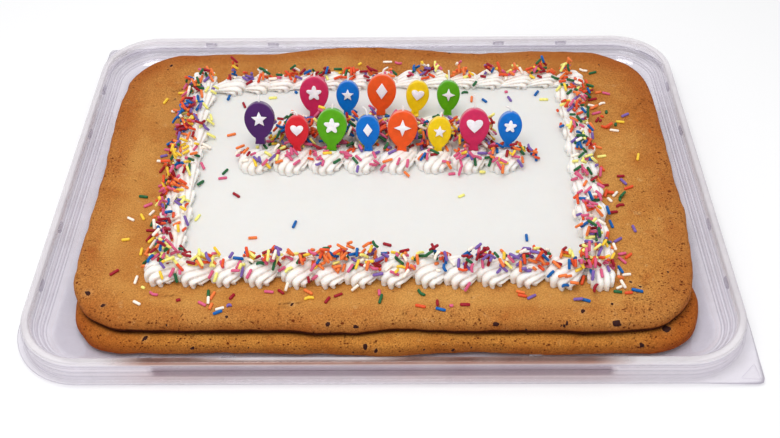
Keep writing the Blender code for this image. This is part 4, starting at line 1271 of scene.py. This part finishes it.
def build_field(look, material):
    """Flat field: a fine sheet with soft waves, pushed down to the cookie and rounded."""
    bm = bmesh.new()
    bmesh.ops.create_grid(bm, x_segments=150, y_segments=110, size=1.0)
    for vertex in bm.verts:
        x = vertex.co.x * FIELD_HALF_X
        y = vertex.co.y * FIELD_HALF_Y
        over = Vector((
            max(abs(x) - FIELD_HALF_X + FIELD_CORNER, 0),
            max(abs(y) - FIELD_HALF_Y + FIELD_CORNER, 0)))
        if over.length > FIELD_CORNER:
            pull = over * (FIELD_CORNER / over.length - 1)
            x += copysign(pull.x, x * pull.x) if x < 0 else pull.x
            y += copysign(pull.y, y * pull.y) if y < 0 else pull.y
        wave = noise.noise(Vector((x, y, 0)) / 0.03)
        wave += 0.5 * noise.noise(Vector((x, y * 3, 1)) / 0.02)
        vertex.co = (x, y + FIELD_MIDDLE, FIELD_TOP - look.wave + look.wave * wave)
    for vertex in thicken(bm):
        vertex.co.z = COOKIE_TOP + GAP
    orient(bm)
    new_piece(bm, "field_icing", material, ["icing_field"], "icing")


def shell(ridges, piping, rng, stretch):
    """One piped shell, head at -X: the tip's teeth stand round the head and run to the tail."""
    angles = np.arange(SHELL_SIDES) * (tau / SHELL_SIDES)
    low_twist, high_twist, deeper, pointed, droop = piping
    phase = rng.uniform(0, pi)
    twist = rng.uniform(low_twist, high_twist)
    long_x = rng.uniform(0.95, 1.07) * stretch[0]
    rings = []
    for number, station in enumerate(smooth_line(SHELL_SPINE, SHELL_RINGS)):
        x, z, lean, half_width, half_depth, groove = station
        share = number / (SHELL_RINGS - 1)
        lean = radians(lean)
        z -= droop * max(0.0, share - 0.4) / 0.6
        base = max(0.0, 1 - share * 5)
        groove = max(groove, 0.0) * (1 + (deeper - 1) * base)
        teeth = np.abs(np.sin(ridges * angles / 2 + phase + twist * share))
        flute = 1 - groove * (1 - teeth ** (0.5 + pointed * base))
        across = half_width * np.cos(angles) * flute
        deep = half_depth * np.sin(angles) * flute
        rings.append(MM * np.stack((
            (x - cos(lean) * deep) * long_x,
            across * stretch[1] + SHELL_BEND / MM * (x / 14) ** 2 * 0.8,
            (z + sin(lean) * deep) * stretch[2]), axis=1))
    return skin(rings)


def settle(mesh, rng, climbs):
    """Roughen piped icing a little and press its underside onto what it lies on."""
    points = vertex_array(mesh)
    normals = vertex_array(mesh, "normal")
    soft, fine = (
        height * ripple(points, size, rng.random() * 9) for height, size in PIPING_LUMPS)
    points = points + normals * (soft + fine)[:, None]
    inside = np.minimum(
        FIELD_HALF_X - abs(points[:, 0]),
        np.minimum(points[:, 1] - FIELD_FRONT, FIELD_BACK - points[:, 1]))
    if climbs:
        share = clip(inside / CLIMB)
        points[:, 2] += (FIELD_TOP - COOKIE_TOP) * share * share * (3 - 2 * share)
    ground = np.where(inside > -GAP, FIELD_TOP, COOKIE_TOP + GAP / 3)
    points[:, 2] = np.maximum(points[:, 2], ground)
    place_points(mesh, points)


def mark_groove_shade(mesh):
    """Mark how deep in a groove each point of the piping lies, for the painted shade there."""
    count = len(mesh.vertices)
    ends = np.zeros(len(mesh.edges) * 2, np.int32)
    mesh.edges.foreach_get("vertices", ends)
    ends = ends.reshape(-1, 2)
    here, there = np.concatenate((ends, ends[:, ::-1])).T
    share = 1 / np.maximum(np.bincount(here, minlength=count), 1)

    def around(values):
        return np.bincount(here, weights=values[there], minlength=count) * share

    lines = zip(vertex_array(mesh).T, vertex_array(mesh, "normal").T)
    groove_shade = sum((around(line) - line) * normal for line, normal in lines)
    groove_shade = clip(around(around(groove_shade)) / GROOVE_SHADE_DEPTH)
    layer = mesh.attributes.new("groove_shade", "FLOAT", "POINT")
    layer.data.foreach_set("value", groove_shade.astype(np.float32))


def pipe(shells, name, node, look, material, rng, row=None):
    """Melt shells into one body of even fine faces, soften it and lay it down as a piece."""
    mesh = evaluated(
        shells, "REMESH", mode="VOXEL", voxel_size=look.fineness, adaptivity=0.0,
        use_smooth_shade=True)
    bm = bmesh_of(mesh)
    bmesh.ops.smooth_vert(
        bm, verts=bm.verts, factor=0.25, use_axis_x=True, use_axis_y=True, use_axis_z=True)
    bm.to_mesh(mesh)
    bm.free()
    settle(mesh, rng, row is None)
    if row:
        press_knots(mesh, row)
    mark_groove_shade(mesh)
    new_piece(mesh, "piping_" + name, material, [node], "icing")


def lay_shell(target, bm, place, heading, floor):
    join(target, bm, Matrix.Translation((*place, floor)) @ turned(heading))


def build_border(look, material):
    """Shells along each side, smaller at the back, each side one piece."""
    rng = random.Random(SEED + 1)
    ends = BORDER_CORNERS[1:] + BORDER_CORNERS[:1]
    for side, start, end in zip(BORDER_SIDES, BORDER_CORNERS, ends):
        along = end - start
        steps = ceil(along.length / SHELL_PITCH - LOOSER)
        heading = atan2(along.y, along.x)
        piping = FRONT_PIPING if side == "front" else SIDE_PIPING
        size = BACK_SHELL_SIZE if side.startswith("back") else 1.0
        inward = Vector((-along.y, along.x)).normalized() * (BACK_SHIFT if size < 1 else 0)
        shells = bmesh.new()
        for step in range(steps):
            swell = rng.uniform(0.90, 1.05)
            if side == "right" and step == 0:
                swell *= CORNER_SHELL_SIZE
            place = start.lerp(end, (step + rng.uniform(-0.09, 0.09)) / steps) + inward
            turn = heading + radians(SHELL_TURNS[side]) + rng.uniform(-0.20, 0.20)
            stretch = (1.0, swell, 0.96 * rng.uniform(0.95, 1.03) * size)
            piped = shell(look.ridges, piping, rng, stretch)
            lay_shell(shells, piped, place, turn, COOKIE_TOP + GAP)
        pipe(shells, side, "border", look, material, rng)


def press_knots(mesh, row):
    """Press the icing down under the balloons' lower ends."""
    points = vertex_array(mesh).astype(float)
    for (_, _, (_, height), rise, *_), stand in candle_stands(row):
        back = np.array(stand.inverted())
        local = points @ back[:3, :3].T + back[:3, 3]
        wide = KNOT_ROOM_HALF * height / BIG[1]
        under = (abs(local[:, 0]) < wide) & (abs(local[:, 1]) < BALLOON_THICK / 2 + GAP)
        local[:, 2] = np.where(under, np.minimum(local[:, 2], rise - GAP), local[:, 2])
        forth = np.array(stand)
        points = local @ forth[:3, :3].T + forth[:3, 3]
    place_points(mesh, points)


def build_rows(look, material):
    rng = random.Random(SEED + 2)
    for name, (shell_count, pitch, row_y) in ROWS.items():
        shells = bmesh.new()
        for number in range(shell_count):
            place = Vector(((number - (shell_count - 1) / 2) * pitch, row_y))
            turn = ROW_TURN + rng.uniform(-0.10, 0.10)
            piped = shell(look.row_ridges, ROW_PIPING, rng, ROW_STRETCH)
            lay_shell(shells, piped, place, turn, ROW_FLOOR)
        pipe(shells, name, name, look, material, rng, name.removeprefix("row_"))


# Candles

def balloon_outline(width, height, arc_steps=12):
    """Closed outline of a balloon from its knot up."""
    scale = height / BIG[1]
    knot = KNOT_HALF * scale
    neck = NECK_HALF * scale
    neck_height = NECK_HEIGHT * scale
    widest = WIDEST_HEIGHT * scale
    half = width / 2
    right = [
        (knot * 1.02, 0.0), (knot * 1.04, 0.0009), (neck, neck_height * 0.55),
        (neck * 1.01, neck_height)]
    for step in range(1, arc_steps):
        share = step / arc_steps
        swell = cos((1 - share) * pi / 2) ** 0.75
        y = neck_height + (widest - neck_height) * share
        right.append((neck + (half - neck) * swell, y))
    for step in range(arc_steps):
        angle = step / arc_steps * pi / 2
        right.append((half * cos(angle), widest + (height - widest) * sin(angle)))
    return right + [(0.0, height)] + [(-x, y) for x, y in reversed(right)]


def motif_outline(kind, size):
    """Points of a small raised shape round the origin."""
    if kind == "diamond":
        return [(size * x, size * y) for x, y in ((0, 1.05), (-0.72, 0), (0, -1.05), (0.72, 0))]
    points = []
    if kind == "heart":
        for step in range(48):
            angle = tau * step / 48
            y = 0.81 * cos(angle) - 0.31 * cos(2 * angle) - 0.12 * cos(3 * angle)
            points.append((-size * sin(angle) ** 3, size * (y + 0.10)))
        return points
    steps, out, dent = MOTIF_RAYS[kind]
    for step in range(steps):
        angle = pi / 2 + step * tau / steps
        reach = out if step % 2 == 0 else dent
        if kind == "flower":
            reach = 0.78 + 0.22 * cos(5 * (angle - pi / 2))
        points.append((size * reach * cos(angle), size * reach * sin(angle)))
    return points


def plate(outline, thick, round_edge, segments, crown=0.0):
    """Upright flat shape: a disc pulled to the outline, extruded and rounded all round."""
    bm = bmesh.new()
    bmesh.ops.create_circle(bm, cap_ends=True, segments=len(outline), radius=1.0)
    for vertex, (x, z) in zip(bm.verts, outline):
        vertex.co = (x, -thick / 2, z)
    bmesh.ops.translate(bm, verts=thicken(bm), vec=(0, thick, 0))
    orient(bm)
    flat_edges = [
        edge for edge in bm.edges if abs(edge.verts[0].co.y - edge.verts[1].co.y) < WELD]
    bevel(bm, flat_edges, round_edge, segments)
    bmesh.ops.remove_doubles(bm, verts=bm.verts, dist=0.00001)
    orient(bm)
    # Rounded edges, where the wax gets its painted highlight
    rim = bm.verts.layers.float.new("rim")
    for vertex in bm.verts:
        vertex[rim] = min(1.0, (thick / 2 - abs(vertex.co.y)) / round_edge * 1.5)
    front = min(bm.faces, key=lambda face: face.calc_center_median().y)
    for _ in range(3 if crown else 0):
        bmesh.ops.inset_region(
            bm, faces=[front], thickness=0.0005, depth=crown / 3, use_even_offset=True)
    return bm


def candle_stands(row):
    """Spec and place of each candle of a row."""
    middle, pitch, entry_y = CANDLE_ROWS[row]
    stands = []
    for spec in CANDLES[row]:
        steps = spec[0] - (len(CANDLES[row]) - 1) / 2
        lean = Euler((-LEAN, radians(spec[4]), 0.0), "YXZ").to_matrix().to_4x4()
        entry = Matrix.Translation((middle + steps * pitch, entry_y, ENTRY_HEIGHT))
        stands.append((spec, entry @ lean))
    return stands


def build_candle(name, spec, stand, waxes, look):
    """Balloon, motif, wick and pick of one candle, made upright and moved to their place."""
    _, wax, (width, height), rise, _, motif, (side, up) = spec

    def place(bm, part, material, slot, low=(0.0, 0.0, 0.0)):
        move(bm, stand @ Matrix.Translation(low))
        new_piece(bm, "%s_%s_wax" % (name, part), material, ["%s_%s" % (name, part)], slot)

    reach, middle = MOTIF_SHARES
    balloon = plate(
        balloon_outline(width, height), BALLOON_THICK, look.edge, 4, BALLOON_CROWN)
    place(balloon, "balloon", waxes[wax], "wax_" + wax, (0, 0, rise))
    raised = plate(motif_outline(motif, reach * width), MOTIF_THICK, MOTIF_EDGE, 2)
    front = -(BALLOON_THICK + MOTIF_THICK) / 2 - GAP
    place(raised, "motif", waxes["motif"], "wax_white", (0, front, rise + middle * height))
    crown = rise + height + GAP
    bend = (side * 0.30, 0.0, crown + max(up * 0.62, 3 * WICK_RADIUS))
    line = smooth_line([(0.0, 0.0, crown - 0.0008), bend, (side, 0.0, crown + up)], 9)
    radii = WICK_RADIUS * np.linspace(1.25, 0.85, 9)
    place(tube(line, radii, (0, 1, 0)), "wick", waxes["wick"], "wick")
    stem = [(0.0, 0.0, z) for z in np.linspace(-PICK_DEPTH, rise - GAP, 6)]
    radii = PICK_RADIUS * (1.0 + 0.25 * np.linspace(0, 1, 6) ** 3)
    place(tube(stem, radii, (0, 1, 0), 14), "pick", waxes["pick"], "pick")


def build_candles(look):
    waxes = {
        name: wax_material(name, look)
        for name in ("purple", "red", "green", "blue", "orange", "yellow", "pink")}
    for name in ("motif", "wick", "pick"):
        waxes[name] = wax_material(name, look, 0.30)
    for row in CANDLES:
        for number, (spec, stand) in enumerate(candle_stands(row)):
            build_candle("%s_%d" % (row, number + 1), spec, stand, waxes, look)


# Sprinkles

class Ground:
    """Height map of all that sprinkles lie on; each laid one is added to it."""

    cell = 0.0008
    low = np.array((-0.222, -0.162))
    count = np.array((556, 404))

    def __init__(self, meshes):
        self.height = np.full(self.count, -1.0)
        for mesh in meshes:
            points = vertex_array(mesh).astype(float)
            x, y, z = points[points[:, 2] > UPPER_FLOOR].T
            np.maximum.at(self.height, self.cells(x, y), z)
        self.fill()

    def cells(self, *place):
        return tuple(
            np.clip(((line - low) / self.cell).astype(int), 0, count - 1)
            for line, low, count in zip(place, self.low, self.count))

    def fill(self):
        """Give empty cells the mean of the filled cells round them."""
        for _ in range(4):
            total = np.zeros(self.height.shape)
            found = np.zeros(self.height.shape)
            for step_x in (-1, 0, 1):
                for step_y in (-1, 0, 1):
                    near = np.roll(self.height, (step_x, step_y), axis=(0, 1))
                    total += np.where(near > 0, near, 0)
                    found += near > 0
            mend = (self.height < 0) & (found > 0)
            self.height[mend] = total[mend] / found[mend]

    def rest(self, x, y, heading, length, radius):
        """Middle and direction of a rod that lies on the highest points under it."""
        steps = np.linspace(-0.5, 0.5, 9) * length
        line_x = x + steps * cos(heading)
        line_y = y + steps * sin(heading)
        under = np.full(9, -1.0)
        for offset in (-0.6 * radius, 0.0, 0.6 * radius):
            cells = self.cells(line_x - offset * sin(heading), line_y + offset * cos(heading))
            under = np.maximum(under, self.height[cells])

        def slope_of(left, right):
            return (under[right] - under[left]) / (steps[right] - steps[left])

        high, slope = under[4], slope_of(2, 6)
        for left in range(4):
            for right in range(5, 9):
                middle = under[left] - slope_of(left, right) * steps[left]
                if middle > high:
                    high, slope = middle, slope_of(left, right)
        slope = max(-STEEPEST, min(STEEPEST, slope))
        middle = Vector((x, y, high + radius * 0.72 * hypot(1, slope)))
        return middle, Vector((cos(heading), sin(heading), slope)).normalized()

    def cover(self, middle, direction, length, radius):
        """Add a laid rod to the height map."""
        steps = np.linspace(-0.5, 0.5, 12) * length
        for offset in (-0.7, 0.0, 0.7):
            side = Vector((-direction.y, direction.x, 0)).normalized() * offset * radius
            x = middle.x + steps * direction.x + side.x
            y = middle.y + steps * direction.y + side.y
            z = middle.z + steps * direction.z + radius * sqrt(1 - offset ** 2)
            np.maximum.at(self.height, self.cells(x, y), z)


def rod_mesh(radius, bend):
    """Sprinkle of unit length along X with round ends."""
    bm = bmesh.new()
    bmesh.ops.create_uvsphere(bm, u_segments=8, v_segments=6, radius=1.0)
    for vertex in bm.verts:
        ring = round(abs(asin(max(-1.0, min(1.0, vertex.co.z)))) / (pi / 6))
        place, thick = ROD_RINGS[ring]
        spoke = vertex.co.xy.normalized() * radius * thick
        x = copysign(place, vertex.co.z)
        vertex.co = (x, spoke.x + bend * (0.25 - x * x) * 4, spoke.y)
    orient(bm)
    return mesh_of(bm, "rod")


def side_point(side, share, offset):
    """Point beside the border's middle line, a distance out from it."""
    index = BORDER_SIDES.index(side)
    start = BORDER_CORNERS[index]
    end = BORDER_CORNERS[(index + 1) % len(BORDER_CORNERS)]
    along = (end - start).normalized()
    return start.lerp(end, share) + Vector((along.y, -along.x)) * offset


def any_kind(rng):
    return rng.choices(list(SPRINKLE_SHARES), SPRINKLE_SHARES.values())[0]


def clumped(rng, count, clumps, spread):
    """Shares from 0 to 1, most of them in clumps, those with the clump's own colour."""
    centres = [
        ((number + rng.uniform(0.1, 0.9)) / clumps, any_kind(rng)) for number in range(clumps)]
    shares = []
    for _ in range(count):
        if rng.random() < CLUMPED:
            centre, kind = rng.choice(centres)
            shares.append((min(1.0, max(0.0, rng.gauss(centre, spread))), kind))
        else:
            shares.append((rng.random(), any_kind(rng)))
    return shares


def margin_places(rng):
    """A few more on the bare crust, besides those set one by one."""
    return [
        (side_point(side, rng.random(), rng.uniform(14, 19) * MM), any_kind(rng))
        for side, number in (("left", 14), ("right", 16)) for _ in range(number)]


def border_places(rng):
    """Where the sprinkles of the border lie, in clumps along each side."""
    places = []
    for side, number, clumps, wide, near, far, most, same in BORDER_SPRINKLES:
        for share, kind in clumped(rng, number, clumps, wide):
            kind = same or kind
            if rng.random() > FAVOURITE:
                kind = any_kind(rng)
            places.append((side_point(side, share, rng.triangular(near, far, most) * MM), kind))
    return places


def row_places(rng):
    """The heap between the candle rows, and a few on the front of each shell."""
    places = []
    for number, left, right, near, far, most, same in ROW_SPRINKLES:
        for _ in range(number):
            place = Vector((rng.uniform(left, right), rng.triangular(near, far, most))) * MM
            places.append((place, same if same and rng.random() < FAVOURITE else any_kind(rng)))
    return places


def build_sprinkles(look):
    rng = random.Random(SEED + 3)
    names = ["cookie_upper_crust", "field_icing"]
    names += ["piping_" + name for name in (*BORDER_SIDES, *ROWS)]
    ground = Ground([bpy.data.objects[name].data for name in names])
    straight, bent = (rod_mesh(look.radius, bend) for bend in (0.0, 0.0011))
    heaps = {kind: bmesh.new() for kind in SPRINKLE_SHARES}
    picks = [stand.translation.xy for row in CANDLES for _, stand in candle_stands(row)]

    def lay(kind, x, y, heading):
        length = look.length * rng.triangular(0.62, 1.15, 1.0)
        if rng.random() < BROKEN:
            length = look.length * rng.uniform(0.35, 0.5)
        middle, direction = ground.rest(x, y, heading, length, look.radius)
        ground.cover(middle, direction, length, look.radius)
        across = Vector((-sin(heading), cos(heading), 0))
        turn = Matrix((direction, across, direction.cross(across))).transposed().to_4x4()
        thick = rng.uniform(0.92, 1.06)
        rod = (bent if rng.random() < BENT else straight).copy()
        rod.transform(
            Matrix.Translation(middle) @ turn @ Matrix.Diagonal((length, thick, thick, 1.0)))
        heaps[kind].from_mesh(rod)
        bpy.data.meshes.remove(rod)

    for kind, x, y, heading in SINGLE_SPRINKLES:
        lay(kind, x * MM, y * MM, radians(heading))
    for place, kind in margin_places(rng) + border_places(rng) + row_places(rng):
        if min((place - pick).length for pick in picks) > PICK_ROOM:
            lay(kind, place.x, place.y, rng.uniform(0, pi))
    for kind, heap in heaps.items():
        new_piece(heap, "sprinkles_" + kind, sugar_material(kind, look), [])


# Stage

def build_stage(look):
    floor = bmesh.new()
    bmesh.ops.create_grid(floor, x_segments=1, y_segments=1, size=FLOOR_REACH)
    bmesh.ops.translate(floor, verts=floor.verts, vec=(0, 0, -FLOOR_GAP))
    mesh = mesh_of(floor, "floor")
    made = Material("floor", 0.9, 0.0)
    pale = Vector(look.floor)
    made.set(Base_Color=made.mix(made.grain(0.8), pale * 0.99, pale))
    mesh.materials.append(made.material)
    add_object("floor", mesh)

    world = bpy.data.worlds.new("studio")
    world.use_nodes = True
    background = world.node_tree.nodes["Background"]
    background.inputs["Color"].default_value = (1.0, 1.0, 1.0, 1.0)
    background.inputs["Strength"].default_value = look.sky
    light = bpy.data.lights.new("softbox", "AREA")
    light.energy = look.lamp
    light.shape = "SQUARE"
    light.size = look.lamp_size
    lamp = add_object("softbox", light)
    lamp.location = LAMP_PLACE
    lamp.rotation_euler = (-LAMP_PLACE).to_track_quat("-Z", "Y").to_euler()
    bpy.context.scene.world = world
    bpy.context.scene.view_settings.view_transform = "Standard"


def build_camera(look):
    """Camera at the fitted place: forward, right and down from pitch, yaw and roll."""
    forward = Vector((
        sin(CAMERA_YAW) * cos(CAMERA_PITCH), cos(CAMERA_YAW) * cos(CAMERA_PITCH),
        -sin(CAMERA_PITCH)))
    level = Vector((cos(CAMERA_YAW), -sin(CAMERA_YAW), 0.0))
    down = forward.cross(level)
    right = level * cos(CAMERA_ROLL) + down * sin(CAMERA_ROLL)
    down = down * cos(CAMERA_ROLL) - level * sin(CAMERA_ROLL)
    data = bpy.data.cameras.new("camera")
    data.sensor_width = SENSOR_WIDTH
    data.sensor_fit = "HORIZONTAL"
    data.lens = look.lens
    data.clip_start = 0.01
    camera = add_object("camera", data)
    turn = Matrix((right, -down, -forward)).transposed().to_4x4()
    camera.matrix_world = Matrix.Translation(CAMERA_PLACE) @ turn
    bpy.context.scene.camera = camera


class CAKE_OT_stage(bpy.types.Operator):
    """Floor, soft light and camera"""
    bl_idname = "cookie_cake.stage"
    bl_label = "Stage"

    def execute(self, context):
        build_stage(context.scene.cookie_cake.stage)
        build_camera(context.scene.cookie_cake.stage)
        return {"FINISHED"}


class CAKE_OT_tray(bpy.types.Operator):
    """Clear formed tray with its rim, catches and pull tabs"""
    bl_idname = "cookie_cake.tray"
    bl_label = "Tray"

    def execute(self, context):
        build_tray(context.scene.cookie_cake.tray)
        return {"FINISHED"}


class CAKE_OT_cookies(bpy.types.Operator):
    """Upper and lower cookie with their chips"""
    bl_idname = "cookie_cake.cookies"
    bl_label = "Cookies"

    def execute(self, context):
        build_cookies(context.scene.cookie_cake.cookies)
        return {"FINISHED"}


class CAKE_OT_icing(bpy.types.Operator):
    """Flat field, piped border and both piped rows"""
    bl_idname = "cookie_cake.icing"
    bl_label = "Icing"

    def execute(self, context):
        look = context.scene.cookie_cake.icing
        build_field(look, icing_material("icing", look.white, look))
        # The piping gets a brighter copy of the icing's white than the field, painted light
        piped = icing_material("piped_icing_brightened", look.piped, look)
        build_border(look, piped)
        build_rows(look, piped)
        return {"FINISHED"}


class CAKE_OT_candles(bpy.types.Operator):
    """Thirteen balloon candles"""
    bl_idname = "cookie_cake.candles"
    bl_label = "Candles"

    def execute(self, context):
        build_candles(context.scene.cookie_cake.candles)
        return {"FINISHED"}


class CAKE_OT_sprinkles(bpy.types.Operator):
    """Sprinkles that rest on the crust and the icing"""
    bl_idname = "cookie_cake.sprinkles"
    bl_label = "Sprinkles"

    def execute(self, context):
        build_sprinkles(context.scene.cookie_cake.sprinkles)
        return {"FINISHED"}


OPERATORS = (
    CAKE_OT_stage, CAKE_OT_tray, CAKE_OT_cookies, CAKE_OT_icing, CAKE_OT_candles,
    CAKE_OT_sprinkles)


class CAKE_PT_panel(bpy.types.Panel):
    """Buttons that make each part of the cake"""
    bl_idname = "CAKE_PT_panel"
    bl_label = "Cookie Cake"
    bl_space_type = "VIEW_3D"
    bl_region_type = "UI"
    bl_category = "Cookie Cake"

    def draw(self, context):
        for operator in OPERATORS:
            self.layout.operator(operator.bl_idname)


CLASSES = (
    TrayLook, CookieLook, IcingLook, CandleLook, SprinkleLook, StageLook, CakeLook,
    *OPERATORS, CAKE_PT_panel)


def register():
    for made in CLASSES:
        bpy.utils.register_class(made)
    bpy.types.Scene.cookie_cake = group("Cookie Cake", "Settings of the cookie cake", CakeLook)


def unregister():
    del bpy.types.Scene.cookie_cake
    for made in reversed(CLASSES):
        bpy.utils.unregister_class(made)


def main():
    register()
    bpy.ops.cookie_cake.stage()
    bpy.ops.cookie_cake.tray()
    bpy.ops.cookie_cake.cookies()
    bpy.ops.cookie_cake.icing()
    bpy.ops.cookie_cake.candles()
    bpy.ops.cookie_cake.sprinkles()


if __name__ == "__main__":
    main()
